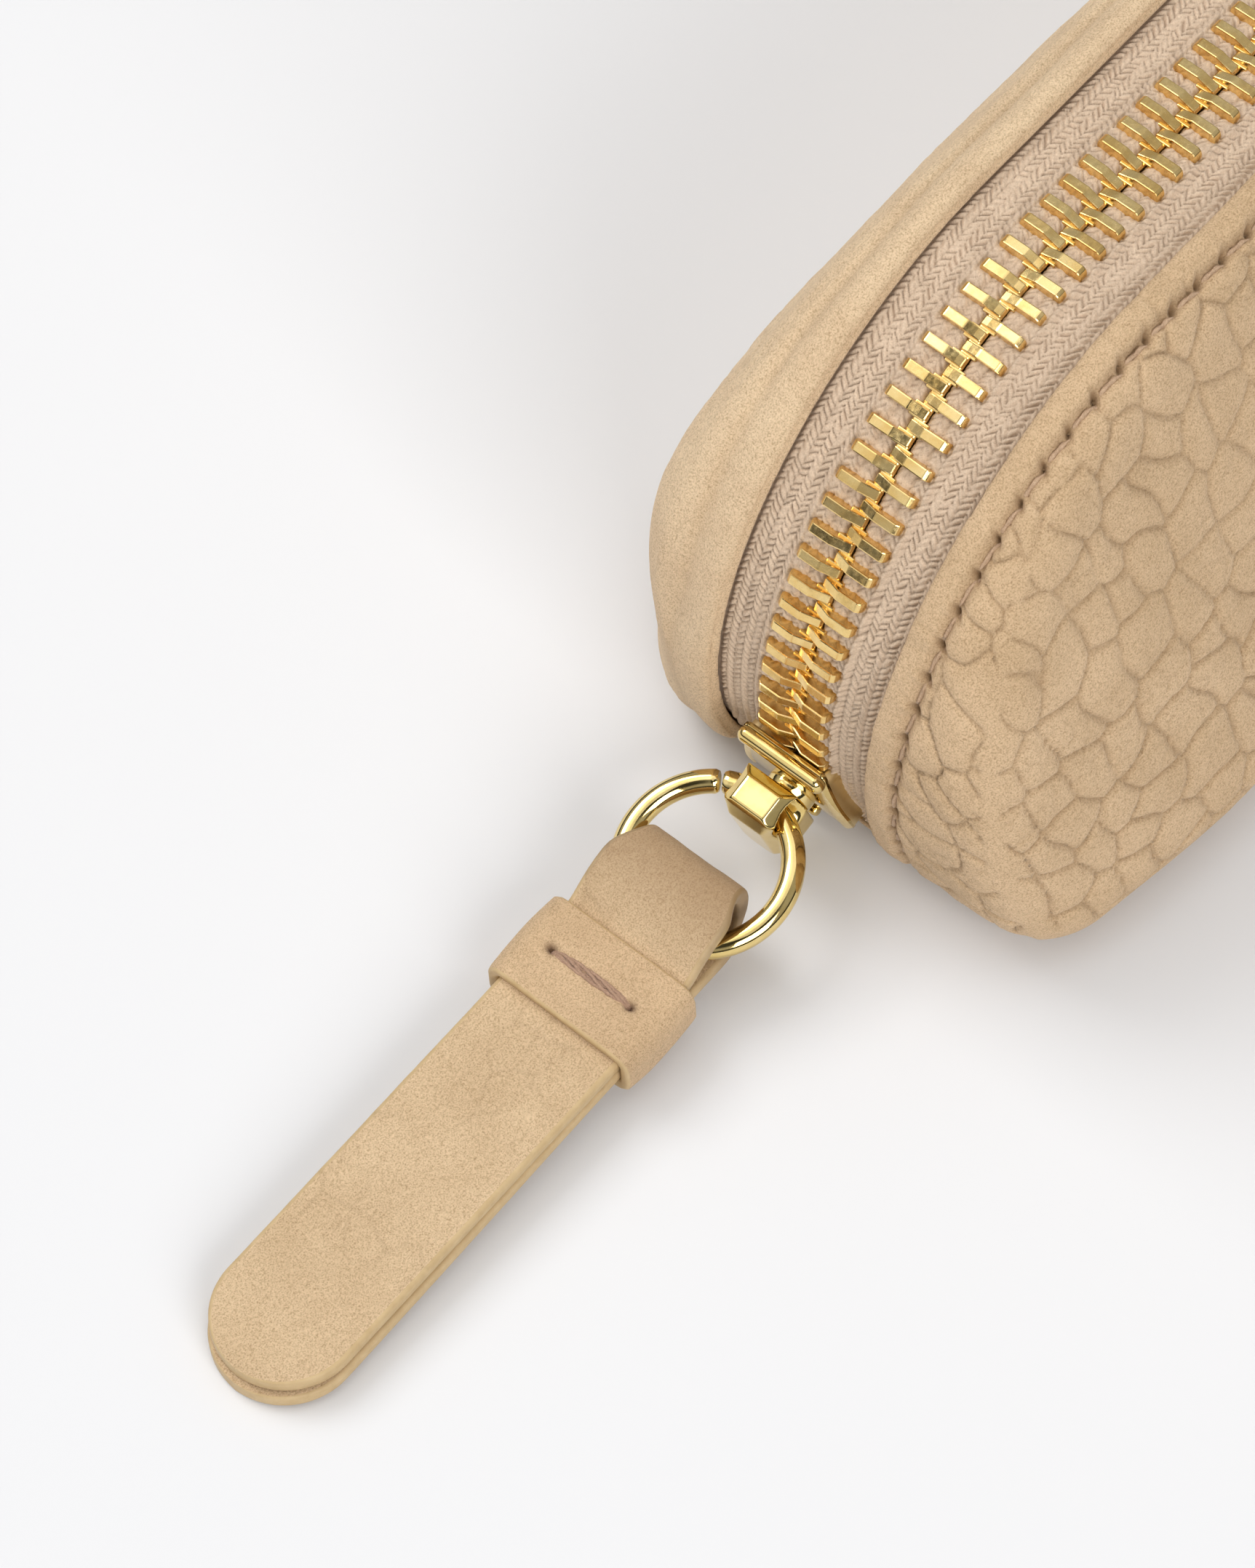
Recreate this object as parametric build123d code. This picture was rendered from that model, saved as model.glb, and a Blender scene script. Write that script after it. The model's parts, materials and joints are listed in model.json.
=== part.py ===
from build123d import *
import math
import os

# Zippered leather pouch, in millimetres. +X runs along its length, the stitched
# front panel faces -Y, +Z is up. The origin is the middle of the flat base.
# A metal zipper runs over the top and round both ends. Its slider is closed at
# the -X end, where a leather pull tab hangs from a split ring.

# ---- driving dimensions ----
ARC_X = 61.8            # distance of each end's arc centre from the middle
ARC_Z = 15.8            # height of the arc centres
TAPE_R = 28.0           # outer face of the zipper tape, from the arc centre
LEATHER_T = 1.2
RIM_R = TAPE_R + LEATHER_T
RIM_Y = 6.8             # half the gap between the two leather rims
SHOULDER_Y = 10.9       # where the sloping walls would meet the top plane
WALL_SLOPE = 0.33       # how far a wall leans out for each unit it drops
EDGE_FILLET = 5.0
BASE_CORNER = 6.5
SLOT_FLOOR_Z = 1.9      # the zipper slot stops this far above the base plane

REACH = 300.0           # longer than the whole pouch, for cutting shapes
OVERLAP = 0.2           # joined solids run this far into each other
SEAM_GAP = 0.05         # half the gap at the seam under the base

LINING_GAP = 0.15
LINING_T = 0.4
LINING_Y = 8.5          # the lining stops at the edge of the zipper tape

TAPE_T = 0.6
TAPE_GAP = 0.1          # between the tape and the leather lapped over it
TAPE_OUTER_R = TAPE_R - TAPE_GAP
TAPE_MID_R = TAPE_OUTER_R - TAPE_T / 2
TAPE_EDGE_Y = 7.8
TAPE_TAIL_Y = 6.6
TAPE_PART_Y = 3.45      # the tape's inner edge where the slider holds the rows apart
TAPE_LAP_END = 112.0    # degrees round the end where the lapped width stops
TAPE_END = 118.5        # degrees round the end where the tape tail stops

BEAD_R = 0.5            # woven cord along each tape's inner edge
BEAD_Y = 1.45
BEAD_START = 96.0       # degrees round the -X end where the cord stops
SLIDER_TAPE = 100.0     # degrees round an end where the tape stays full width

TOOTH_PITCH = 2.142
TOOTH_T = 0.88
TOOTH_HEAD_Y = -0.45    # each head reaches past the middle between its mates
TOOTH_TAIL_Y = 3.05
TOOTH_RISE = 1.2        # height above and below the middle of the tape
TOOTH_HEAD_RISE = 0.65
TOOTH_HEAD_START = 0.9  # the top slopes down to the head from here
TOOTH_TAIL_RISE = 0.7
TOOTH_TAIL_BEVEL = 0.25
SLOT_FIT = 0.04
CHAIN_START = 114.6     # degrees round the -X end where the rows begin
CHAIN_END = 109.0       # degrees round the +X end where the rows stop
PART_START = 102.0      # the rows begin to part here, inside the slider
PART_SPAN = 13.0
PART_WIDTH = 1.35

STOP_AT = 117.0         # degrees round the -X end of the two top stops
STOP_LEN = 1.0
STOP_RISE = 0.9
STOP_HEAD_Y = 1.0
STOP_SLOT_Y = 1.95
STOP_TAIL_Y = 2.8
BOTTOM_STOP_AT = 112.0  # degrees round the +X end of the bottom stop
BOTTOM_STOP_LEN = 1.6

STITCH_PITCH = 2.8
STITCH_LEN = 2.0
STITCH_W = 0.55
STITCH_T = 0.3
STITCH_FROM_RIM = 2.8
STITCH_END = 104.0
STITCH_LIFT = 0.12      # clears the curve of the leather under each stitch

SLIDER_AT = 107.0       # degrees round the -X end of the slider's middle
SLIDER_HALF = 5.3
PLATE_IN_R = TAPE_MID_R + TOOTH_RISE + 0.25
PLATE_T = 0.7
PLATE_OUT_R = PLATE_IN_R + PLATE_T
INNER_PLATE_R = TAPE_MID_R - TOOTH_RISE - 0.25
INNER_PLATE_T = 1.1
FLANGE_GAP = 0.5        # half the slot that the tape runs in
FLANGE_T = 0.5
MOUTH_Y = 3.15          # half the channel at the rear mouth
SHOULDER_MOUTH_Y = 4.4
MOUTH_FLARE = 1.9       # the channel widens this far each side of its middle
WEDGE_PLAN = [(0, 0.6), (0.35, 2.0), (0.75, 3.6), (0.75, 5.0)]
REAR_HALF_W = 3.65
WIDE_HALF_W = 4.8
NOSE_HALF_W = 3.4
WIDE_START = 1.6        # the slider is widest between these two places
WIDE_END = 3.2
LIP_LEN = 1.35          # thicker bar along the rear edge of the outer plate
LIP_RISE = 0.6
CROWN_HALF_W = 1.4      # foot of the crown, near the nose
CROWN_START = 4.2
CROWN_END = 5.2
CROWN_RISE = 0.5
BOSS_H = 0.6
BOSS_R = 1.9

SWIVEL_AT = 109.0       # degrees round the -X end of the swivel pin
BLOCK_Y = 4.6
BLOCK_ABOVE = 5.4       # the block reaches this far above its pin, and
BLOCK_BELOW = 3.2       # this far below it
BLOCK_T = 3.7           # thickness outwards from the slider
BLOCK_CHAMFER = 0.85
BLOCK_FOOT = 1.9        # radius of the block's rounded lower corners
BLOCK_GAP = 0.1
BELL_STEPS = 6
BELL_R = 3.1            # curve of the eye's mouths
EYE_ABOVE = 2.9         # the ring's eye is this far above the pin
EYE_OUT = 1.35          # and this far out from the block's back
PIN_R = 0.8
PIN_HEAD_R = 1.3
PIN_HEAD_T = 0.4
PIN_BITE = 0.5          # depth of the pin in the block
RUN_FIT = 0.05
PRESS_FIT = 0.01

RING_R = 6.2            # centreline radius of the split ring
WIRE_R = 0.9
RING_GAP = 3.6          # degrees left open in the ring
RING_GAP_AT = 27.0      # degrees from the block to the gap
EYE_FIT = 0.12
RING_SHIFT = 0.5        # the ring lies a little off centre in its eye

STRAP_W = 11.0
STRAP_T = 1.3
STRAP_LEN = 50.9
STRAP_SLIT = 0.1
STRAP_PITCH = 3.2       # degrees that the tab slopes down to its tip
STRAP_SHIFT = 1.05      # the tab lies to one side of the middle
FAR_Z = 4.9             # height of the ring's far side
FOLD_REACH = 6.4        # from the fold's end back to the ring's far side
FOLD_HALF_W = 4.3       # the fold is drawn in to pass through the ring
FOLD_NARROW_END = 2.9
FOLD_FULL_START = 5.2
STRAP_TOP = 2 * STRAP_T + STRAP_SLIT
# side view of the fold, as (distance from its end, height), clockwise from the top
FOLD_OUTSIDE = [
    (8.6, 2.7), (7.5, 4.4), (5.4, 5.5), (2.8, 5.8), (1.1, 5.4), (0.2, 4.2),
    (0, 1.9), (0.6, 0.6), (1.9, 0),
]
FOLD_INSIDE = [
    (8.4, 1.4), (7.2, 3.3), (5.2, 4.2), (3.0, 4.5), (1.9, 4.1), (1.3, 3.4),
    (1.3, 2.0), (2.0, 1.3),
]
KEEPER_T = 1.0
KEEPER_FIT = 0.05
KEEPER_START = 8.7
KEEPER_LEN = 7.5
THREAD_R = 0.45
THREAD_HALF_SPAN = 3.6
THREAD_HOLE_R = 0.5

CENTRE = Vector(-ARC_X, 0, ARC_Z)


def end_axis(side):
    """Axis that swings a section round one end, away from the top."""
    return Axis((side * ARC_X, 0, ARC_Z), (0, side, 0))


def section(points):
    """Face in the plane of the arc centres, from (y, radius) points."""
    return make_face(Polyline(*[(0, y, r) for y, r in points], close=True))


def along_chain(face, start_angle, end_angle):
    """Sweep a (y, radius) face over the top and round both ends."""
    top = extrude(Pos(ARC_X, 0, ARC_Z) * face, amount=2 * ARC_X, dir=(-1, 0, 0))
    start = revolve(Pos(-ARC_X, 0, ARC_Z) * face, end_axis(-1), start_angle)
    end = revolve(Pos(ARC_X, 0, ARC_Z) * face, end_axis(1), end_angle)
    return top + start + end


def chain_place(distance):
    """Frame under the chain, from the -X arc's start towards +X."""
    if distance < 0:
        return Location((-ARC_X, 0, ARC_Z), (0, math.degrees(distance / TAPE_MID_R), 0))
    if distance > 2 * ARC_X:
        past = distance - 2 * ARC_X
        return Location((ARC_X, 0, ARC_Z), (0, math.degrees(past / TAPE_MID_R), 0))
    return Location((distance - ARC_X, 0, ARC_Z))


def part_shift(distance):
    """How far a row has moved aside, round the slider's wedge."""
    angle = math.degrees(-distance / TAPE_MID_R)
    share = min(max((angle - PART_START) / PART_SPAN, 0.0), 1.0)
    return PART_WIDTH * share * share * (3 - 2 * share)


def body_form(inset):
    """Rounded pouch form, drawn in from the outer face by inset."""
    stadium = Pos(0, ARC_Z) * SlotCenterToCenter(2 * ARC_X, 2 * (RIM_R - inset))
    outline = stadium & Pos(0, REACH / 2 + inset) * Rectangle(REACH, REACH)
    outline = fillet(outline.vertices().group_by(Axis.Y)[0], BASE_CORNER - inset)
    prism = extrude(Plane.XZ * outline, amount=RIM_R, both=True)
    wall_inset = inset * math.hypot(1, WALL_SLOPE)
    top_z = ARC_Z + RIM_R
    top_y = SHOULDER_Y - wall_inset
    base_y = top_y + WALL_SLOPE * top_z
    wedge = make_face(
        Polyline((0, -base_y, 0), (0, base_y, 0), (0, top_y, top_z), (0, -top_y, top_z),
                 close=True)
    )
    form = prism & extrude(wedge, amount=REACH / 2, dir=(1, 0, 0), both=True)
    sides = form.faces().sort_by(Axis.Y)
    rims = sides[0].edges() + sides[-1].edges()
    return fillet(rims, EDGE_FILLET - inset)


def half_shell(outer_inset, inner_inset, slot_y, side):
    """One half of a shell with its share of the zipper slot cut away."""
    shell = body_form(outer_inset) - body_form(inner_inset)
    slot = Pos(0, 0, SLOT_FLOOR_Z + REACH / 2) * Box(REACH, 2 * slot_y, REACH)
    half = Pos(0, side * (REACH / 2 + SEAM_GAP), 0) * Box(REACH, REACH, REACH)
    return (shell - slot) & half


def tape_strip(side, inner_y, outer_y):
    """Cross-section of one tape between two distances from the middle."""
    low = TAPE_OUTER_R - TAPE_T
    return section([
        (side * inner_y, low), (side * outer_y, low),
        (side * outer_y, TAPE_OUTER_R), (side * inner_y, TAPE_OUTER_R),
    ])


def zipper_tape(side):
    """One tape: full width where the leather laps it, narrower at its tails."""
    bead_side = BEAD_Y + BEAD_R + SLOT_FIT
    tape = along_chain(tape_strip(side, bead_side, TAPE_EDGE_Y), SLIDER_TAPE, TAPE_LAP_END)
    tape += along_chain(tape_strip(side, bead_side, TAPE_TAIL_Y), SLIDER_TAPE, TAPE_END)
    tape += along_chain(tape_strip(side, TAPE_PART_Y, TAPE_EDGE_Y), TAPE_LAP_END, SLIDER_TAPE)
    return tape + along_chain(tape_strip(side, TAPE_PART_Y, TAPE_TAIL_Y), TAPE_END, SLIDER_TAPE)


def zipper_bead(side):
    """Woven cord that the teeth grip, stopping just inside the slider."""
    circle = make_face(CenterArc((0, 0), BEAD_R, 0, 360))
    face = Pos(0, side * BEAD_Y, TAPE_MID_R) * (Plane.YZ * circle)
    return along_chain(face, BEAD_START, CHAIN_END)


def tooth(side):
    """Metal tooth clamped on the bead, with its head past the middle."""
    mid = TAPE_MID_R
    slot = TAPE_T / 2 + SLOT_FIT
    bead = BEAD_R + SLOT_FIT
    upper = [
        (TOOTH_TAIL_Y, slot), (TOOTH_TAIL_Y, TOOTH_TAIL_RISE),
        (TOOTH_TAIL_Y - TOOTH_TAIL_BEVEL, TOOTH_RISE),
        (TOOTH_HEAD_START, TOOTH_RISE), (TOOTH_HEAD_Y, TOOTH_HEAD_RISE),
    ]
    lower = [(y, -rise) for y, rise in reversed(upper)]
    grip = [
        (BEAD_Y + bead, -slot), (BEAD_Y + bead, -bead), (BEAD_Y - bead, -bead),
        (BEAD_Y - bead, bead), (BEAD_Y + bead, bead), (BEAD_Y + bead, slot),
    ]
    outline = [(side * y, mid + rise) for y, rise in upper + lower + grip]
    return extrude(section(outline), amount=TOOTH_T / 2, dir=(1, 0, 0), both=True)


def teeth_row(side):
    """Every tooth of one row; the rows are half a pitch apart."""
    first = -math.radians(CHAIN_START) * TAPE_MID_R + (TOOTH_PITCH / 2 if side > 0 else 0)
    last = 2 * ARC_X + math.radians(CHAIN_END) * TAPE_MID_R
    count = int((last - first) / TOOTH_PITCH)
    shape = tooth(side)
    row = []
    for index in range(count + 1):
        distance = first + index * TOOTH_PITCH
        row.append(chain_place(distance) * Pos(0, side * part_shift(distance), 0) * shape)
    return Compound(children=row)


def top_stops():
    """The two clamps that end the rows inside the slider's front mouths."""
    slot = TAPE_T / 2 + SLOT_FIT
    half = [(STOP_TAIL_Y, slot), (STOP_TAIL_Y, STOP_RISE), (STOP_HEAD_Y, STOP_RISE)]
    mouth = [(STOP_SLOT_Y, -slot), (STOP_SLOT_Y, slot)]
    outline = half + [(y, -rise) for y, rise in reversed(half)] + mouth
    stops = []
    for side in (-1, 1):
        clamp = section([(side * (y + PART_WIDTH), TAPE_MID_R + rise) for y, rise in outline])
        bar = extrude(clamp, amount=STOP_LEN / 2, dir=(1, 0, 0), both=True)
        stops.append(Location((-ARC_X, 0, ARC_Z), (0, -STOP_AT, 0)) * bar)
    return Compound(children=stops)


def bottom_stop():
    """Box clamp across both rows at the +X end."""
    slot = TAPE_T + 2 * SLOT_FIT
    grip_y = BEAD_Y + BEAD_R
    bar = Box(BOTTOM_STOP_LEN, 2 * TOOTH_TAIL_Y, 2 * TOOTH_RISE)
    for side in (-1, 1):
        bar -= Pos(0, side * (grip_y + REACH / 2), 0) * Box(REACH, REACH, slot)
    return Location((ARC_X, 0, ARC_Z), (0, BOTTOM_STOP_AT, 0)) * Pos(0, 0, TAPE_MID_R) * bar


def shoulder_lean(angle):
    """Lean of the rounded shoulder at the seam, angle degrees round an end."""
    turn = math.radians(angle)
    drop = RIM_R * (1 - math.cos(turn))
    wall_y = SHOULDER_Y + WALL_SLOPE * drop
    corner = math.acos(math.cos(turn) * math.sin(math.atan(WALL_SLOPE)))
    start_y = wall_y - EDGE_FILLET * math.tan(corner / 2)
    past = max(RIM_Y + STITCH_FROM_RIM - start_y, 0.0)
    return math.degrees(math.asin(past / EDGE_FILLET))


def rim_stitches():
    """Single stitches along the front rim, on the rounded shoulder."""
    stitch = Box(STITCH_LEN, STITCH_W, STITCH_T)
    half_run = ARC_X + math.radians(STITCH_END) * TAPE_MID_R
    count = int(2 * half_run / STITCH_PITCH)
    stitches = []
    for index in range(count + 1):
        distance = ARC_X - half_run + index * STITCH_PITCH
        place = chain_place(distance)
        past = max(-distance, distance - 2 * ARC_X, 0.0)
        lean = shoulder_lean(math.degrees(past / TAPE_MID_R))
        drop = EDGE_FILLET * (1 - math.cos(math.radians(lean)))
        seat = Pos(0, -RIM_Y - STITCH_FROM_RIM, RIM_R - drop) * Rot(lean, 0, 0)
        stitches.append(place * seat * Pos(0, 0, STITCH_T / 2 + STITCH_LIFT) * stitch)
    return Compound(children=stitches)


# ---- slider: curved to run round the end on the arc's centre ----
SLIDER_OUT = (-math.sin(math.radians(SLIDER_AT)), 0, math.cos(math.radians(SLIDER_AT)))
SLIDER_DOWN = (-math.cos(math.radians(SLIDER_AT)), 0, -math.sin(math.radians(SLIDER_AT)))


def slider_plan(points, mirrored=False):
    """Face across the slider from (y, distance towards its nose) points."""
    outline = list(points)
    if mirrored:
        outline += [(-y, t) for y, t in reversed(points) if y > 0]
    plane = Plane(origin=CENTRE, x_dir=(0, 1, 0), z_dir=SLIDER_OUT)
    sign = 1 if Vector(*SLIDER_DOWN).dot(plane.y_dir) > 0 else -1
    return plane * make_face(Polyline(*[(y, sign * t) for y, t in outline], close=True))


def drum(inner_r, outer_r):
    """Ring of the given radii round the arc's centre, wider than the slider."""
    turn = Location(CENTRE, (90, 0, 0))
    return turn * (Cylinder(outer_r, 4 * WIDE_HALF_W) - Cylinder(inner_r, 5 * WIDE_HALF_W))


def rise(plan):
    """Stand a slider plan up through every layer of the slider."""
    return extrude(plan, amount=PLATE_OUT_R + BLOCK_T, dir=SLIDER_OUT)


def swivel_frame():
    """Frame on the arc centre with its Z out through the swivel pin."""
    return Location(CENTRE, (0, -SWIVEL_AT, 0))


def slider_body():
    """Two plates with flanges, joined by the wedge that parts the rows."""
    wing = rise(slider_plan([
        (REAR_HALF_W, -SLIDER_HALF), (WIDE_HALF_W, WIDE_START), (WIDE_HALF_W, WIDE_END),
        (NOSE_HALF_W, SLIDER_HALF),
    ], mirrored=True))
    channel = rise(slider_plan([
        (MOUTH_Y, -SLIDER_HALF - OVERLAP), (MOUTH_Y, -MOUTH_FLARE),
        (SHOULDER_MOUTH_Y, MOUTH_FLARE), (SHOULDER_MOUTH_Y, SLIDER_HALF + OVERLAP),
    ], mirrored=True))
    wedge = rise(slider_plan(WEDGE_PLAN, mirrored=True))
    plates = drum(PLATE_IN_R, PLATE_OUT_R) + drum(INNER_PLATE_R - INNER_PLATE_T, INNER_PLATE_R)
    flanges = (drum(TAPE_MID_R + FLANGE_GAP, PLATE_IN_R + OVERLAP)
               + drum(INNER_PLATE_R - OVERLAP, TAPE_MID_R - FLANGE_GAP))
    post = drum(INNER_PLATE_R - OVERLAP, PLATE_IN_R + OVERLAP)
    body = (wing & plates) + ((wing - channel) & flanges) + (wedge & post)
    frame = swivel_frame()
    boss = Cylinder(BOSS_R, BOSS_H + OVERLAP)
    body += frame * Pos(0, 0, PLATE_OUT_R + (BOSS_H - OVERLAP) / 2) * boss
    lip = rise(slider_plan([(REAR_HALF_W, -SLIDER_HALF), (REAR_HALF_W, LIP_LEN - SLIDER_HALF)],
                           mirrored=True))
    body += lip & drum(PLATE_OUT_R - OVERLAP, PLATE_OUT_R + LIP_RISE)
    foot = rise(slider_plan([(CROWN_HALF_W, CROWN_START), (CROWN_HALF_W, CROWN_END)],
                            mirrored=True))
    body += foot & drum(PLATE_OUT_R - OVERLAP, PLATE_OUT_R + CROWN_RISE)
    body -= frame * Pos(0, 0, PLATE_OUT_R) * Cylinder(PIN_R + RUN_FIT, 2 * BLOCK_T)
    recess = Cylinder(PIN_HEAD_R + RUN_FIT, 2 * (PIN_HEAD_T + 2 * RUN_FIT))
    return body - frame * Pos(0, 0, PLATE_IN_R) * recess


BLOCK_BASE_R = PLATE_OUT_R + BOSS_H + BLOCK_GAP
EYE_SPOT = Location((EYE_ABOVE, 0, BLOCK_BASE_R + EYE_OUT))


def swivel_pin():
    """Headed pin through the outer plate, pressed into the block."""
    frame = swivel_frame()
    low = PLATE_IN_R + RUN_FIT
    high = BLOCK_BASE_R + PIN_BITE
    shank = Pos(0, 0, (low + high) / 2) * Cylinder(PIN_R, high - low)
    head = Pos(0, 0, low + PIN_HEAD_T / 2) * Cylinder(PIN_HEAD_R, PIN_HEAD_T)
    return frame * (shank + head)


def swivel_block():
    """Upright block that turns on the pin, with a bell-mouthed eye for the ring."""
    height = BLOCK_ABOVE + BLOCK_BELOW
    block = Pos((BLOCK_ABOVE - BLOCK_BELOW) / 2, 0, BLOCK_BASE_R + BLOCK_T / 2)
    block *= Box(height, BLOCK_Y, BLOCK_T)
    foot = block.edges().filter_by(Axis.Z).group_by(Axis.X)[0]
    block = fillet(foot, BLOCK_FOOT)
    top = block.faces().sort_by(Axis.X)[-1]
    block = chamfer(top.edges(), BLOCK_CHAMFER)
    outer = block.faces().sort_by(Axis.Z)[-1]
    block = chamfer(outer.edges(), BLOCK_CHAMFER)
    bell = []
    for index in range(-BELL_STEPS, BELL_STEPS + 1):
        y = index / BELL_STEPS * (BLOCK_Y / 2 + OVERLAP)
        bell.append((WIRE_R + EYE_FIT + BELL_R - math.sqrt(BELL_R**2 - y * y), y))
    outline = Polyline((0, bell[0][1]), *bell, (0, bell[-1][1]), close=True)
    eye = EYE_SPOT * revolve(make_face(outline), Axis.Y, 360)
    bore = Pos(0, 0, BLOCK_BASE_R) * Cylinder(PIN_R + PRESS_FIT, 2 * (PIN_BITE + PRESS_FIT))
    return swivel_frame() * (block - eye - bore)


# ---- ring and tab: the ring leans from the block down to the tab ----
EYE = (swivel_frame() * EYE_SPOT).position
RING_TILT = math.degrees(math.asin((EYE.Z - FAR_Z) / (2 * RING_R)))
RING_RUN = Vector(math.cos(math.radians(RING_TILT)), 0, math.sin(math.radians(RING_TILT)))
RING_CENTRE = EYE - RING_RUN * RING_R + Vector(0, RING_SHIFT, 0)
FAR_SIDE = EYE - RING_RUN * (2 * RING_R) + Vector(0, STRAP_SHIFT, 0)


def split_ring():
    """Round wire ring, open by a narrow gap beside the block."""
    wire = Plane.XZ * Pos(RING_R, 0) * Circle(WIRE_R)
    hoop = revolve(wire, Axis.Z, 360 - RING_GAP)
    start = RING_GAP_AT + RING_GAP
    return Location(RING_CENTRE, (0, -RING_TILT, 0)) * Rot(0, 0, start) * hoop


def tab_frame():
    """Frame at the ring's far side: X towards the tip, Z up, sloping down."""
    return Location(FAR_SIDE, (0, -STRAP_PITCH, 0)) * Rot(0, 0, 180)


STRAP_LOW = -(WIRE_R + EYE_FIT + STRAP_T)   # underside of the strap below the wire


def tab_profile(points):
    """Face along the tab from (distance to the fold's end, height) points."""
    return make_face(Polyline(*[(s - FOLD_REACH, 0, STRAP_LOW + h) for s, h in points],
                              close=True))


def strap_plan():
    """Outline of the tab from above: drawn in at the fold, half-round at the tip."""
    half = STRAP_W / 2
    straight = STRAP_LEN - half
    edge = [(0, FOLD_HALF_W), (FOLD_NARROW_END, FOLD_HALF_W), (FOLD_FULL_START, half),
            (straight, half)]
    outline = edge + [(s, -y) for s, y in reversed(edge)]
    plan = make_face(Polyline(*[(s - FOLD_REACH, y) for s, y in outline], close=True))
    return plan + Pos(straight - FOLD_REACH, 0) * Circle(half)


def thread_holes(radius, low, high):
    """Two upright rods where the keeper's stitch goes through."""
    middle = KEEPER_START + KEEPER_LEN / 2 - FOLD_REACH
    rod = Pos(middle, 0, STRAP_LOW + (low + high) / 2) * Cylinder(radius, high - low)
    return Pos(0, -THREAD_HALF_SPAN, 0) * rod + Pos(0, THREAD_HALF_SPAN, 0) * rod


def pull_strap():
    """Leather strap folded round the ring, its two layers lying together."""
    outer = tab_profile(FOLD_OUTSIDE + [(STRAP_LEN, 0), (STRAP_LEN, STRAP_TOP)])
    pocket = tab_profile(FOLD_INSIDE + [
        (STRAP_LEN + OVERLAP, STRAP_T), (STRAP_LEN + OVERLAP, STRAP_T + STRAP_SLIT),
    ])
    layers = extrude(outer - pocket, amount=STRAP_W, dir=(0, 1, 0), both=True)
    strap = layers & extrude(strap_plan(), amount=STRAP_W, both=True)
    return tab_frame() * (strap - thread_holes(THREAD_HOLE_R, -OVERLAP, STRAP_TOP + OVERLAP))


def pull_keeper():
    """Leather band wrapped round both layers next to the ring."""
    length = KEEPER_LEN
    inner_w = STRAP_W + 2 * KEEPER_FIT
    inner_h = STRAP_TOP + 2 * KEEPER_FIT
    band = Box(length, inner_w + 2 * KEEPER_T, inner_h + 2 * KEEPER_T)
    long_edges = band.edges().filter_by(Axis.X)
    band = fillet(long_edges, KEEPER_T)
    band -= Box(length + OVERLAP, inner_w, inner_h)
    middle = KEEPER_START + length / 2 - FOLD_REACH
    band = Pos(middle, 0, STRAP_LOW + STRAP_TOP / 2) * band
    holes = thread_holes(THREAD_HOLE_R, -KEEPER_T / 2, STRAP_TOP + 2 * KEEPER_T)
    return tab_frame() * (band - holes)


def keeper_thread():
    """One thick stitch across the keeper, its ends going down two holes."""
    top = STRAP_TOP + KEEPER_T + KEEPER_FIT + PRESS_FIT
    middle = KEEPER_START + KEEPER_LEN / 2 - FOLD_REACH
    legs = thread_holes(THREAD_R, STRAP_SLIT, top + OVERLAP)
    bar = Box(2 * THREAD_R, 2 * (THREAD_HALF_SPAN + THREAD_R), 2 * THREAD_R)
    bar = Pos(middle, 0, STRAP_LOW + top + THREAD_R) * bar
    return tab_frame() * (legs + bar)


NODES = {
    "front_panel": lambda: half_shell(0, LEATHER_T, RIM_Y, -1),
    "back_panel": lambda: half_shell(0, LEATHER_T, RIM_Y, 1),
    "front_lining": lambda: half_shell(LEATHER_T + LINING_GAP,
                                       LEATHER_T + LINING_GAP + LINING_T, LINING_Y, -1),
    "back_lining": lambda: half_shell(LEATHER_T + LINING_GAP,
                                      LEATHER_T + LINING_GAP + LINING_T, LINING_Y, 1),
    "front_tape": lambda: zipper_tape(-1),
    "back_tape": lambda: zipper_tape(1),
    "front_bead": lambda: zipper_bead(-1),
    "back_bead": lambda: zipper_bead(1),
    "front_teeth": lambda: teeth_row(-1),
    "back_teeth": lambda: teeth_row(1),
    "top_stops": top_stops,
    "bottom_stop": bottom_stop,
    "rim_stitches": rim_stitches,
    "slider_body": slider_body,
    "swivel_pin": swivel_pin,
    "swivel_block": swivel_block,
    "split_ring": split_ring,
    "pull_strap": pull_strap,
    "pull_keeper": pull_keeper,
    "keeper_thread": keeper_thread,
}

os.makedirs("parts", exist_ok=True)
for name, make in NODES.items():
    export_step(make(), f"parts/{name}.step")
print("eye", tuple(round(v, 3) for v in EYE), "far side", tuple(round(v, 3) for v in FAR_SIDE))
print("ring tilt", round(RING_TILT, 2), "arc centre", tuple(CENTRE))
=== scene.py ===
import json
import math

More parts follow.
